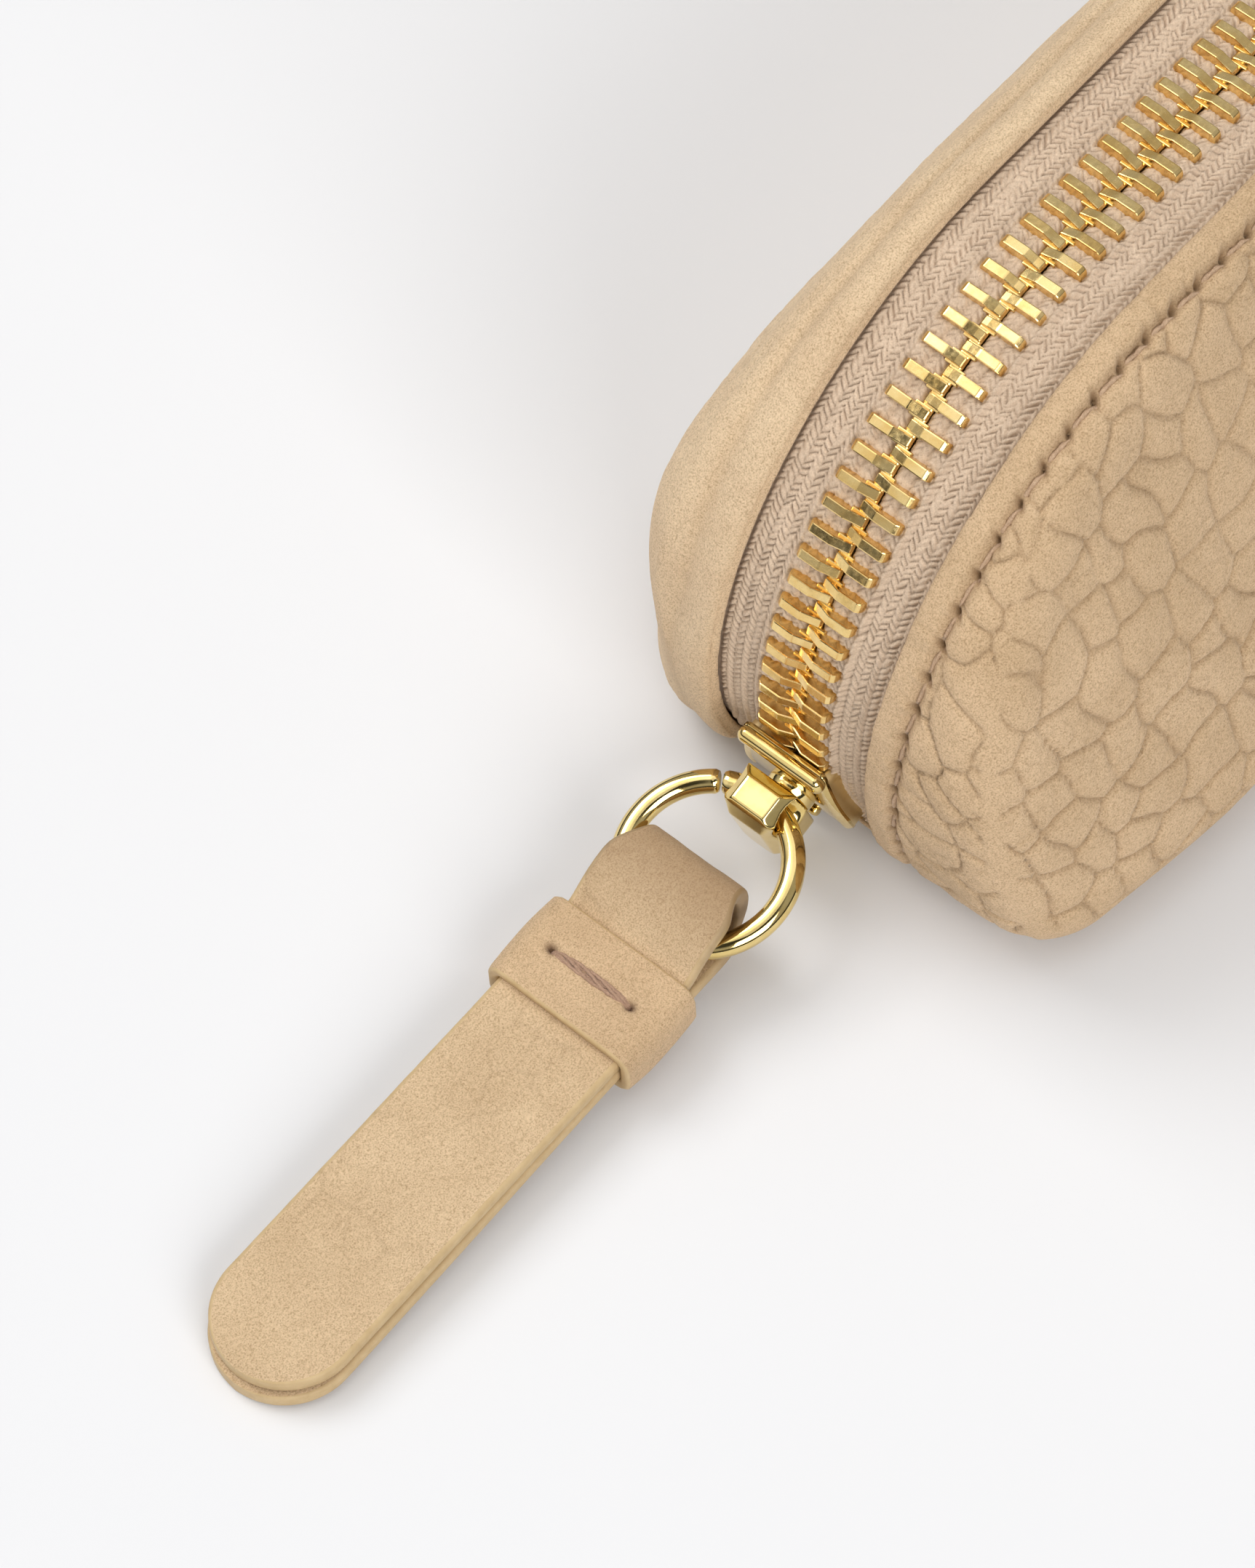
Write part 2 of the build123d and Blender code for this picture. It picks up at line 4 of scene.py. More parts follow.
import bmesh
import bpy
import numpy as np
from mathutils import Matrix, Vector

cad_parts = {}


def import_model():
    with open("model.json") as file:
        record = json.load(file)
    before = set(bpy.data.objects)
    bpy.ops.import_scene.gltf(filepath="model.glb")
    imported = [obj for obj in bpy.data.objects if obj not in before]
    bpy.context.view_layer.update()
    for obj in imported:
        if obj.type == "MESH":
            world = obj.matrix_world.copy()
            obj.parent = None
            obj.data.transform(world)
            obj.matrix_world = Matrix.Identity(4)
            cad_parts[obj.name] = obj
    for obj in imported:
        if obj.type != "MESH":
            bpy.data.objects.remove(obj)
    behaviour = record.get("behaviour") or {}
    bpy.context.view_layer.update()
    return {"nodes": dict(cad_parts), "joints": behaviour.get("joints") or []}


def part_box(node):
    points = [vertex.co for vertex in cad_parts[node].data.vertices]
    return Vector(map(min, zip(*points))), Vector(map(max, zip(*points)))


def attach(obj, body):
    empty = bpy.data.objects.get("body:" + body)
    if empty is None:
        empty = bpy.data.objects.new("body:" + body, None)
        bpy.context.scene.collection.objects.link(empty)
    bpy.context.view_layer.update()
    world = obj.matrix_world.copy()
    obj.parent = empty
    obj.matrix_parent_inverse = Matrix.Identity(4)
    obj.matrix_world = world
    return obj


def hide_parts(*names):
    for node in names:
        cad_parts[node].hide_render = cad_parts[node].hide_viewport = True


# Zippered leather pouch. The builder's lengths below are millimetres, and MM turns
# them into metres. Places come from the CAD frame: joints and node boxes.
MM = 0.001

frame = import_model()
JOINTS = {joint["name"]: Vector(joint["pos_m"]) / MM for joint in frame["joints"]}


def node_box(node):
    """Lowest and highest corner of a CAD node, in millimetres."""
    low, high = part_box(node)
    return low / MM, high / MM


ARC = JOINTS["slider_travel"]
EYE = JOINTS["ring_swing"]
FAR_SIDE = JOINTS["tab_swing"]
ARC_X, ARC_Z = -ARC.x, ARC.z
RIM_R = node_box("front_panel")[1].z - ARC_Z
TAPE_OUT_R = node_box("front_tape")[1].z - ARC_Z
TAPE_T = 0.6
TAPE_MID_R = TAPE_OUT_R - TAPE_T / 2
RIM_Y = 6.8
SHOULDER_Y = 10.9
WALL_SLOPE = 0.33
SLIDER_AT = 107.0
SWIVEL_AT = 109.0
CHAIN_START = 114.6
CHAIN_END = 109.0
TOOTH_PITCH = 2.142
STITCH_PITCH = 2.8
STITCH_Y = RIM_Y + 2.8
STITCH_END = 111.0


# ---- small helpers
def smooth(value, low, high):
    """0 below low, 1 above high, with an even slope between."""
    share = np.clip((value - low) / (high - low), 0.0, 1.0)
    return share * share * (3 - 2 * share)


def bell(value, middle, width):
    """1 at the middle, falling away evenly at both sides."""
    return np.exp(-((value - middle) / width) ** 2)


def rounded_end(nearest, radius):
    """How wide a round end is, at a distance from its tip."""
    return np.sqrt(np.clip(radius ** 2 - np.clip(radius - nearest, 0, None) ** 2, 0, None))


def soften(values, rounds=1):
    """Average each value but the first and last with its neighbours, in place."""
    for _ in range(rounds):
        values[1:-1] = (values[:-2] + 2 * values[1:-1] + values[2:]) / 4


def arc_run(degrees):
    """Distance along the chain for an angle round one of the end arcs."""
    return math.radians(degrees) * TAPE_MID_R


def run_along(path):
    """Distance from a path's start to each of its points."""
    return np.concatenate([[0], np.cumsum(np.linalg.norm(np.diff(path, axis=0), axis=1))])


def circle(steps):
    """Even angles once round."""
    return np.linspace(0, 2 * math.pi, steps, endpoint=False)


def hash_pair(ix, iy, seed):
    """Two repeatable random numbers from 0 to 1 for each whole-number cell."""
    phase = ix * 127.1 + iy * 311.7 + seed * 74.7
    other = ix * 269.5 + iy * 183.3 + seed * 21.3
    first = np.modf(np.abs(np.sin(phase) * 43758.5453))[0]
    second = np.modf(np.abs(np.sin(other) * 24634.6345))[0]
    return first, second


def wave_noise(x, y, seed, scale):
    """Smooth value noise from -1 to 1."""
    x, y = x / scale, y / scale
    ix, iy = np.floor(x), np.floor(y)
    fx, fy = x - ix, y - iy
    fx, fy = fx * fx * (3 - 2 * fx), fy * fy * (3 - 2 * fy)
    corner = [hash_pair(ix + dx, iy + dy, seed)[0] for dx, dy in ((0, 0), (1, 0), (0, 1), (1, 1))]
    low = corner[0] * (1 - fx) + corner[1] * fx
    high = corner[2] * (1 - fx) + corner[3] * fx
    return 2 * (low * (1 - fy) + high * fy) - 1


def cells(x, y, size, seed, spread=0.8):
    """Distance to the nearest cell centre and to the nearest cell border, in sizes."""
    x, y = x / size, y / size
    ix, iy = np.floor(x), np.floor(y)
    first = np.full(x.shape, 9.0)
    second = np.full(x.shape, 9.0)
    for dx in (-2, -1, 0, 1, 2):
        for dy in (-2, -1, 0, 1, 2):
            jx, jy = hash_pair(ix + dx, iy + dy, seed)
            px = ix + dx + 0.5 + spread * (jx - 0.5)
            py = iy + dy + 0.5 + spread * (jy - 0.5)
            reach = np.hypot(px - x, py - y)
            second = np.minimum(second, np.maximum(first, reach))
            first = np.minimum(first, reach)
    return first, second - first


def bend(s, y, r):
    """Points at distance s along the chain from the -X arc's start, at radius r."""
    s, y, r = np.broadcast_arrays(np.asarray(s, float), y, r)
    run = 2 * ARC_X
    before = np.clip(-s, 0, None) / TAPE_MID_R
    after = np.clip(s - run, 0, None) / TAPE_MID_R
    turn = after - before
    x = np.clip(s, 0, run) - ARC_X + r * np.sin(turn)
    return np.stack([x, y, ARC_Z + r * np.cos(turn)], axis=-1)


def chain_frames(s):
    """Origin, tangent and outward direction under the chain at each distance."""
    origin = bend(s, 0.0, 0.0)
    outward = bend(s, 0.0, 1.0) - origin
    tangent = np.stack([outward[..., 2], np.zeros(len(s)), -outward[..., 0]], axis=-1)
    return origin, tangent, outward


def grid_faces(rows, cols, wrap_rows=False):
    """Quads over rows of points, each row closed into a loop."""
    i = np.arange(rows if wrap_rows else rows - 1)[:, None]
    j = np.arange(cols)[None, :]
    i2, j2 = (i + 1) % rows, (j + 1) % cols
    quads = np.stack([i * cols + j, i * cols + j2, i2 * cols + j2, i2 * cols + j], axis=-1)
    return quads.reshape(-1, 4)


def add_mesh(name, points, faces, materials, body, shades=None, face_slots=None):
    """A smooth-shaded piece from millimetre points, riding on a body."""
    mesh = bpy.data.meshes.new(name)
    points = np.asarray(points, float).reshape(-1, 3) * MM
    mesh.from_pydata(points.tolist(), [], [list(map(int, face)) for face in faces])
    mesh.update()
    return add_piece(name, mesh, materials, body, shades, face_slots)


def placed(name, data):
    """A new object, linked into the scene."""
    item = bpy.data.objects.new(name, data)
    bpy.context.scene.collection.objects.link(item)
    return item


def add_piece(name, mesh, materials, body, shades=None, face_slots=None):
    """Link a mesh as a piece with its materials, body, face slots and shading values."""
    piece = placed(name, mesh)
    for material in materials:
        mesh.materials.append(material)
    mesh.polygons.foreach_set("use_smooth", [True] * len(mesh.polygons))
    if face_slots is not None:
        mesh.polygons.foreach_set("material_index", np.asarray(face_slots, np.int32))
    if shades is not None:
        layer = mesh.attributes.new("shade", "FLOAT", "POINT")
        layer.data.foreach_set("value", np.asarray(shades, np.float32).ravel())
    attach(piece, body)
    return piece


def opened(mesh):
    """A mesh's form for editing."""
    work = bmesh.new()
    work.from_mesh(mesh)
    return work


def closed(work, mesh):
    """Turn every face of an edited form outwards and put it into its mesh."""
    bmesh.ops.recalc_face_normals(work, faces=work.faces)
    work.to_mesh(mesh)
    work.free()


def fix_normals(piece):
    """Turn every face of a closed piece outwards."""
    closed(opened(piece.data), piece.data)


def cad_copy(node, name, merge):
    """A bare copy of a CAD node's mesh, opened, with points nearer than merge joined."""
    mesh = frame["nodes"][node].data.copy()
    mesh.name = name
    mesh.materials.clear()
    work = opened(mesh)
    bmesh.ops.remove_doubles(work, verts=work.verts, dist=merge * MM)
    return mesh, work


def sweep(sections):
    """Capped points and faces through equal loops of points, one loop for each row."""
    sections = np.asarray(sections, float)
    rows, cols = sections.shape[:2]
    faces = [list(face) for face in grid_faces(rows, cols)]
    faces.append(list(range(cols))[::-1])
    faces.append([(rows - 1) * cols + j for j in range(cols)])
    return sections.reshape(-1, 3), faces


def tube(path, radius, sides, plies, twist, groove):
    """Plied tube along a path, its twist in radians a millimetre."""
    path = np.asarray(path, float)
    ahead = np.gradient(path, axis=0)
    ahead /= np.linalg.norm(ahead, axis=1)[:, None]
    side = np.cross(ahead, (0.0, 0.0, 1.0))
    flat = np.linalg.norm(side, axis=1) < 1e-3
    side[flat] = (0.0, 1.0, 0.0)
    side /= np.linalg.norm(side, axis=1)[:, None]
    up = np.cross(side, ahead)
    run = run_along(path)
    angle = circle(sides)
    reach = radius * (1 - groove * (0.5 - 0.5 * np.cos(plies * angle - twist * run[:, None])))
    cosine, sine = np.cos(angle)[None, :, None], np.sin(angle)[None, :, None]
    return sweep(path[:, None] + reach[..., None] * (cosine * side[:, None] + sine * up[:, None]))


def join_parts(parts):
    """Join (points, faces) parts into one."""
    points, faces, count = [], [], 0
    for part_points, part_faces in parts:
        points.append(np.asarray(part_points, float).reshape(-1, 3))
        faces.extend([[index + count for index in face] for face in part_faces])
        count += len(points[-1])
    return np.concatenate(points), faces


# ---- materials
def new_material(name):
    """An empty node material with its shader, output and object coordinates."""
    material = bpy.data.materials.new(name)
    material.use_nodes = True
    tree = material.node_tree
    shader = tree.nodes["Principled BSDF"]
    coords = new_node(tree, "TexCoord", {}).outputs["Object"]
    return material, tree, shader, coords


def feed(tree, node, values):
    """Put numbers, colours or other nodes' outputs into a node's sockets."""
    for socket, value in values.items():
        if isinstance(value, bpy.types.NodeSocket):
            tree.links.new(value, node.inputs[socket])
        else:
            node.inputs[socket].default_value = value


def new_node(tree, kind, values):
    """A new node of a kind, fed with its values."""
    node = tree.nodes.new("ShaderNode" + kind)
    feed(tree, node, values)
    return node


def noise(tree, coords, per_mm, detail=3.0, rough=0.5):
    """Noise value with so many cells a millimetre."""
    values = {"Vector": coords, "Scale": per_mm / MM, "Detail": detail, "Roughness": rough}
    return new_node(tree, "TexNoise", values).outputs["Fac"]


def ramp(tree, value, stops):
    """Colour ramp over a value, from (place, colour) stops."""
    node = new_node(tree, "ValToRGB", {"Fac": value})
    elements = node.color_ramp.elements
    while len(elements) < len(stops):
        elements.new(0.5)
    for element, (place, colour) in zip(elements, stops):
        element.position = place
        element.color = (*colour, 1.0)
    return node.outputs["Color"]


def mix(tree, kind, factor, first, second):
    """Mix two colours; factor is a number or a socket."""
    node = new_node(tree, "Mix", {})
    node.data_type = "RGBA"
    node.blend_type = kind
    feed(tree, node, {0: factor, 6: first, 7: second})
    return node.outputs[2]


def math_node(tree, operation, first, second):
    """One arithmetic node on sockets or numbers."""
    node = new_node(tree, "Math", {0: first, 1: second})
    node.operation = operation
    return node.outputs[0]


def bump(tree, shader, height, depth_mm, strength):
    """Bump of a given depth in millimetres."""
    node = new_node(tree, "Bump", {"Height": height, "Distance": depth_mm * MM, "Strength": strength})
    feed(tree, shader, {"Normal": node.outputs["Normal"]})


def mix_painted_shade(tree, base, crease):
    """Darken a colour towards crease, the painted shade colour, by the piece's shade values: 0 in the
    open, 1 deep in a crease.
    """
    node = new_node(tree, "Attribute", {})
    node.attribute_name = "shade"
    return mix(tree, "MIX", node.outputs["Fac"], base, (*crease, 1))


def nubuck(name, light, dark, crease, nap=7.5, mottle=0.14):
    """Napped leather: mottled tan with a fine grain, and painted shade in the crease colour in its
    creases.
    """
    material, tree, shader, coords = new_material(name)
    patches = noise(tree, coords, mottle, 5.0, 0.62)
    grain = noise(tree, coords, nap, 3.0, 0.65)
    specks = noise(tree, coords, nap * 0.45, 5.0, 0.8)
    base = ramp(tree, patches, [(0.34, dark), (0.66, light)])
    fine = ramp(tree, grain, [(0.34, (0.56, 0.50, 0.42)), (0.5, (0.88, 0.87, 0.85)), (0.64, (1, 1, 1))])
    spots = ramp(tree, specks, [(0.36, (0.70, 0.64, 0.56)), (0.5, (1, 1, 1))])
    base = mix(tree, "MULTIPLY", 0.85, base, fine)
    base = mix(tree, "MULTIPLY", 0.5, base, spots)
    feed(tree, shader, {"Base Color": mix_painted_shade(tree, base, crease), "Roughness": 0.88,
                        "Specular IOR Level": 0.22, "Sheen Weight": 0.18, "Sheen Roughness": 0.5,
                        "Sheen Tint": (1.0, 0.93, 0.82, 1)})
    height = math_node(tree, "ADD", grain, math_node(tree, "MULTIPLY", specks, 0.8))
    bump(tree, shader, height, 0.11, 0.85)
    return material


def yarn(name, light, dark, gap):
    """Spun yarn: fine fibres over a soft beige, with painted shade in the gap colour between the loops."""
    material, tree, shader, coords = new_material(name)
    fibres = noise(tree, coords, 7.0, 4.0, 0.7)
    patches = noise(tree, coords, 0.5, 3.0, 0.5)
    base = ramp(tree, fibres, [(0.3, dark), (0.62, light)])
    tint = ramp(tree, patches, [(0.3, (0.8, 0.78, 0.76)), (0.7, (1, 1, 1))])
    base = mix(tree, "MULTIPLY", 0.35, base, tint)
    feed(tree, shader, {"Base Color": mix_painted_shade(tree, base, gap), "Roughness": 0.92,
                        "Specular IOR Level": 0.15, "Sheen Weight": 0.25, "Sheen Roughness": 0.45,
                        "Sheen Tint": (1.0, 0.93, 0.86, 1)})
    bump(tree, shader, fibres, 0.06, 0.7)
    return material


def brass(name, light, dark, rough_low, rough_high, bump_mm=0.002, per_mm=9.0):
    """Golden brass with a little tarnish and fine scratches."""
    material, tree, shader, coords = new_material(name)
    tarnish = noise(tree, coords, 0.55, 4.0, 0.6)
    scratches = noise(tree, coords, per_mm, 3.0, 0.6)
    base = ramp(tree, tarnish, [(0.35, dark), (0.62, light)])
    spread = new_node(tree, "MapRange", {"Value": scratches, "From Min": 0.35, "From Max": 0.7,
                                         "To Min": rough_low, "To Max": rough_high})
    feed(tree, shader, {"Base Color": base, "Metallic": 1.0, "Roughness": spread.outputs["Result"]})
    bump(tree, shader, scratches, bump_mm, 0.5)
    return material


def painted_edge(name):
    """Smooth burnished paint on the cut edges of the tab."""
    material, tree, shader, coords = new_material(name)
    streaks = noise(tree, coords, 0.9, 5.0, 0.6)
    base = ramp(tree, streaks, [(0.3, (0.53, 0.37, 0.185)), (0.7, (0.63, 0.46, 0.25))])
    # Painted shade from the piece's shade values darkens the edge paint too.
    base = mix_painted_shade(tree, base, (0.16, 0.09, 0.045))
    feed(tree, shader, {"Base Color": base, "Roughness": 0.5, "Specular IOR Level": 0.4})
    bump(tree, shader, noise(tree, coords, 2.2, 3.0), 0.03, 0.5)
    return material


# The third colour of each leather and yarn is the colour of its painted shade.
FRONT_LEATHER = nubuck("front_nubuck", (0.80, 0.575, 0.358), (0.695, 0.488, 0.29), (0.30, 0.18, 0.088))
BACK_LEATHER = nubuck("back_nubuck", (0.92, 0.705, 0.465), (0.815, 0.60, 0.385), (0.40, 0.25, 0.13))
TAB_LEATHER = nubuck("tab_nubuck", (0.84, 0.625, 0.395), (0.745, 0.54, 0.33), (0.28, 0.165, 0.08), 8.0)
KEEPER_LEATHER = nubuck("keeper_suede", (0.82, 0.59, 0.365), (0.70, 0.49, 0.293), (0.12, 0.06, 0.03), 8.5)
EDGE_PAINT = painted_edge("edge_paint")
TAPE_YARN = yarn("tape_yarn", (0.765, 0.595, 0.438), (0.575, 0.435, 0.31), (0.38, 0.27, 0.19))
STITCH_YARN = yarn("stitch_yarn", (0.50, 0.325, 0.225), (0.32, 0.19, 0.125), (0.12, 0.065, 0.04))
RIM_YARN = yarn("rim_yarn", (0.60, 0.42, 0.275), (0.40, 0.26, 0.165), (0.12, 0.065, 0.04))
LINING_CLOTH = yarn("lining_cloth", (0.55, 0.43, 0.32), (0.40, 0.30, 0.22), (0.18, 0.12, 0.08))
TEETH_BRASS = brass("teeth_brass", (0.92, 0.69, 0.31), (0.83, 0.56, 0.20), 0.17, 0.3, 0.006, 2.6)
POLISHED = brass("polished_brass", (0.82, 0.64, 0.28), (0.73, 0.54, 0.20), 0.05, 0.12)
SATIN = brass("satin_brass", (0.90, 0.75, 0.44), (0.82, 0.65, 0.33), 0.30, 0.42, 0.01, 2.0)


# ---- leather panels
PANEL_VOXEL = 0.25
FRONT_DRAW = 1.4
FRONT_FLARE = 0.8
BACK_DRAW = 8.6
PEBBLE, SMALL_PEBBLE = 4.1, 1.9
CREASE_DEPTH, VALLEY_DEPTH = 0.34, 0.13
SEAM_DEPTH, HOLE_DEPTH = 0.55, 0.7
WRINKLE_SIZE = 4.2


def remeshed(node, voxel_mm, name):
    """Even quads over a copy of a CAD node."""
    work = placed(name + "_work", frame["nodes"][node].data.copy())
    modifier = work.modifiers.new("even", "REMESH")
    modifier.mode = "VOXEL"
    modifier.voxel_size = voxel_mm * MM
    depsgraph = bpy.context.evaluated_depsgraph_get()
    mesh = bpy.data.meshes.new_from_object(work.evaluated_get(depsgraph))
    mesh.name = name
    mesh.materials.clear()
    for layer in list(mesh.attributes):
        if not (layer.name == "position" or layer.is_internal or layer.is_required):
            mesh.attributes.remove(layer)
    bpy.data.objects.remove(work)
    return mesh


def read_points(mesh):
    """A mesh's points in millimetres."""
    flat = np.empty(len(mesh.vertices) * 3)
    mesh.vertices.foreach_get("co", flat)
    return flat.reshape(-1, 3) / MM


def write_points(mesh, points):
    """Put millimetre points back into a mesh."""
    mesh.vertices.foreach_set("co", (points * MM).ravel())
    mesh.update()


def read_normals(mesh):
    """Smoothed normals of a mesh's points."""
    flat = np.empty(len(mesh.vertices) * 3)
    mesh.vertex_normals.foreach_get("vector", flat)
    return flat.reshape(-1, 3)


def relax(mesh, points, rounds, strength=0.5):
    """Smooth points towards the middle of their neighbours."""
    edges = np.empty(len(mesh.edges) * 2, np.int64)
    mesh.edges.foreach_get("vertices", edges)
    edges = edges.reshape(-1, 2)
    count = np.bincount(edges.ravel(), minlength=len(points))[:, None]
    for _ in range(rounds):
        total = np.zeros_like(points)
        for axis in range(3):
            total[:, axis] += np.bincount(edges[:, 0], points[edges[:, 1], axis], len(points))
            total[:, axis] += np.bincount(edges[:, 1], points[edges[:, 0], axis], len(points))
        points = points + strength * (total / count - points)
    return points


def around_form(points):
    """Radius and chain distance of points, measured round the pouch's outline."""
    inner_x = np.clip(points[:, 0], -ARC_X, ARC_X)
    dx = points[:, 0] - inner_x
    dz = points[:, 2] - ARC_Z
    radius = np.hypot(dx, dz)
    turn = np.arctan2(np.abs(dx), dz)
    distance = inner_x + ARC_X + np.sign(dx) * turn * TAPE_MID_R
    return radius, distance, turn, dx, dz


def wall_gap(points):
    """How far points stand in from the outside wall, along y."""
    wall_y = SHOULDER_Y + WALL_SLOPE * (ARC_Z + RIM_R - points[:, 2])
    return wall_y - np.abs(points[:, 1])


def unfolded(points):
    """Flat coordinates of the leather, with the shoulder and rim rolled out."""
    radius, distance, turn, dx, dz = around_form(points)
    reach = np.clip(wall_gap(points), 0, None)
    grow = (radius + reach) / np.maximum(radius, 1.0) - 1
    share = smooth(radius, 15, 24)
    flat_x = points[:, 0] + dx * grow * share
    flat_z = points[:, 2] + dz * grow * share
    return flat_x, flat_z, distance, turn, radius


def end_draw(points, most):
    """How far the wall is drawn in at the pouch's ends, most near the base."""
    share = smooth(np.abs(points[:, 0]), ARC_X + 5, ARC_X + 31)
    share *= smooth(np.abs(points[:, 1]), RIM_Y + 1, 19)
    return most * share * (1 - smooth(points[:, 2], 6, 33))


def shape_panel(node, side, end_pull, flare):
    """The panel's mesh, lightly stuffed, with its points, normals and outer share."""
    mesh = remeshed(node, PANEL_VOXEL, node + "_leather")
    points = relax(mesh, read_points(mesh), 3)
    radius = around_form(points)[0]
    outside = outer_share(points)
    reach = np.abs(points[:, 1])
    pull = end_draw(points, end_pull)
    belly = 0.9 * smooth(points[:, 2], 2, 16) * (1 - smooth(radius, 16, 27)) * smooth(reach, 11, 14)
    spread = smooth(reach, 14, 22) * (1 - smooth(points[:, 2], 3, 18))
    spread *= 1 - smooth(np.abs(points[:, 0]), ARC_X + 6, ARC_X + 26)
    points[:, 1] += side * (belly - pull + flare * spread)
    wave = 0.35 * wave_noise(points[:, 0], points[:, 2], 3, 17.0)
    points[:, 1] += side * wave * smooth(reach, 11, 15)
    write_points(mesh, points)
    return mesh, points, read_normals(mesh), outside


def outer_share(points):
    """1 on the panel's outside and its rim edge, 0 on its inside."""
    radius = around_form(points)[0]
    inner_gap = np.minimum(RIM_R - radius, wall_gap(points) / math.hypot(1, WALL_SLOPE))
    inner_gap = np.minimum(inner_gap, points[:, 2])
    return 1 - smooth(inner_gap, 0.75, 1.15)


def inner_shade(across, radius):
    """Shade of the cut edge where it turns in over the zipper tape."""
    return 0.35 * smooth(-across, -0.02, 0.1) * smooth(RIM_R - radius, 0.5, 1.0)


def front_panel():
    """Pebbled front panel with a smooth rim band and a sunken stitch line."""
    mesh, points, normals, keep = shape_panel("front_panel", -1, FRONT_DRAW, FRONT_FLARE)
    flat_x, flat_z, distance, _, radius = unfolded(points)

    def lumps(seed, scale):
        return wave_noise(flat_x, flat_z, seed, scale)

    reach = np.abs(points[:, 1])
    across = reach - RIM_Y
    past_seam = reach - STITCH_Y
    on_rim = smooth(radius, RIM_R - 3.4, RIM_R - 2.2)
    step = distance / STITCH_PITCH
    near_hole = np.abs(step % 1.0 - 0.5) * 2
    seam = bell(past_seam, 0, 0.42) * on_rim
    band = bell(across, 1.3, 1.0) * on_rim
    band *= 1 + 0.22 * wave_noise(distance, reach, 8, 2.3)
    scallop = bell(past_seam, -0.35, 0.5) * smooth(near_hole, 0.35, 1.0) * on_rim
    hole_s = ((step + 0.5) % 1.0 - 0.5) * STITCH_PITCH + 0.7 * past_seam
    hole = bell(hole_s, 0, 0.26) * bell(past_seam, 0.05, 0.48) * on_rim
    pebbled = 1 - smooth(radius, RIM_R - 1.5, RIM_R + 0.5) * (1 - smooth(past_seam, -0.1, 0.7))
    warp_x = flat_x + 0.75 * lumps(11, 3.1) + 0.9 * lumps(12, 8.0)
    warp_z = flat_z + 0.75 * lumps(13, 3.1) + 0.9 * lumps(14, 8.0)
    lean_x, lean_z = warp_x * 1.08 + warp_z * 0.15, warp_z * 0.88 - warp_x * 0.12
    near, border = cells(lean_x, lean_z, PEBBLE, 21, 0.7)
    crease = bell(border, 0, 0.055)
    valley = bell(border, 0, 0.24)
    depth = 0.7 + 0.3 * smooth(lumps(31, 9.0), -0.7, 0.5)
    _, small_border = cells(warp_x * 1.1, warp_z, SMALL_PEBBLE, 22)
    small = bell(small_border, 0, 0.08) * smooth(lumps(33, 5.5), -0.1, 0.6)
    fan = np.sin(distance * 2.9 + 1.3 * wave_noise(distance, reach, 35, 2.5))
    fan = np.clip(fan, 0.55, 1.0) * np.exp(-np.clip(past_seam - 0.4, 0, None) / 1.3) * on_rim
    fan = np.clip(fan - 0.55, 0, None) * pebbled
    height = -depth * (CREASE_DEPTH * crease + VALLEY_DEPTH * valley)
    height = pebbled * (height - 0.09 * small + 0.16 * (0.5 - near))
    height += 0.15 * band - SEAM_DEPTH * seam + 0.20 * scallop - HOLE_DEPTH * hole - 0.16 * fan
    height += 0.10 * lumps(41, 6.0) + 0.03 * lumps(42, 0.9)
    height -= 0.32 * bell(across, 0, 0.35) * on_rim
    points += normals * (height * keep)[:, None]
    # Painted shade: darker in the creases, valleys and small creases, in the seam groove, stitch holes and
    # fan folds, and on the turned-in cut edge.
    shade = pebbled * (0.36 * depth * crease + 0.04 * depth * valley + 0.14 * small)
    shade += 0.36 * seam + 0.9 * hole + 0.16 * fan + inner_shade(across, radius)
    write_points(mesh, points)
    painted_shade = np.clip(shade * keep, 0, 0.95)
    piece = add_piece("front_panel_leather", mesh, [FRONT_LEATHER], "pouch", painted_shade)
    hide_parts("front_panel")
    return piece


def back_panel():
    """Softly ridged back panel with a rolled rim."""
    mesh, points, normals, _ = shape_panel("back_panel", 1, BACK_DRAW, 0.0)
    flat_x, flat_z, distance, turn, radius = unfolded(points)

    def lumps(seed, scale):
        return wave_noise(flat_x, flat_z, seed, scale)

    across = np.abs(points[:, 1]) - RIM_Y
    on_rim = smooth(radius, RIM_R - 4.5, RIM_R - 2.8)
    drop = across + np.clip(RIM_R - radius, 0, None)
    wobble = drop + 0.3 * wave_noise(distance, distance * 0, 51, 9.0)
    roll = bell(wobble, 1.5, 1.0) * on_rim
    groove = bell(wobble, 3.6, 0.6)
    ridge = bell(wobble, 5.6, 1.0)
    second = bell(wobble, 8.6, 0.7)
    warp = flat_x + 1.6 * lumps(52, 7.0)
    near, border = cells(warp * 0.62, flat_z * 1.25 + 0.5 * lumps(53, 4.0), WRINKLE_SIZE, 54)
    wrinkle = bell(border, 0, 0.11) * smooth(lumps(55, 11.0), -0.6, 0.6)
    soft = smooth(drop, 3.5, 8.5)
    calm = 1 - 0.75 * smooth(turn, 1.1, 1.7)
    height = 0.26 * roll - (0.30 * groove - 0.10 * ridge + 0.08 * second) * calm
    height += soft * (-0.15 * wrinkle + 0.08 * (0.5 - near))
    height += 0.12 * lumps(56, 7.0) + 0.03 * lumps(57, 0.8)
    height += 0.05 * wave_noise(distance * 0.35, drop * 2.2, 58, 1.6) * smooth(drop, 2.0, 4.0)
    height -= 0.42 * bell(across, 0, 0.45) * on_rim
    keep = outer_share(points)
    points += normals * (height * keep)[:, None]
    # Painted shade: darker in the grooves and wrinkles and on the turned-in cut edge.
    shade = 0.16 * groove + 0.07 * second + 0.34 * wrinkle * soft + inner_shade(across, radius)
    write_points(mesh, points)
    painted_shade = np.clip(shade * keep, 0, 0.9)
    piece = add_piece("back_panel_leather", mesh, [BACK_LEATHER], "pouch", painted_shade)
    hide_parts("back_panel")


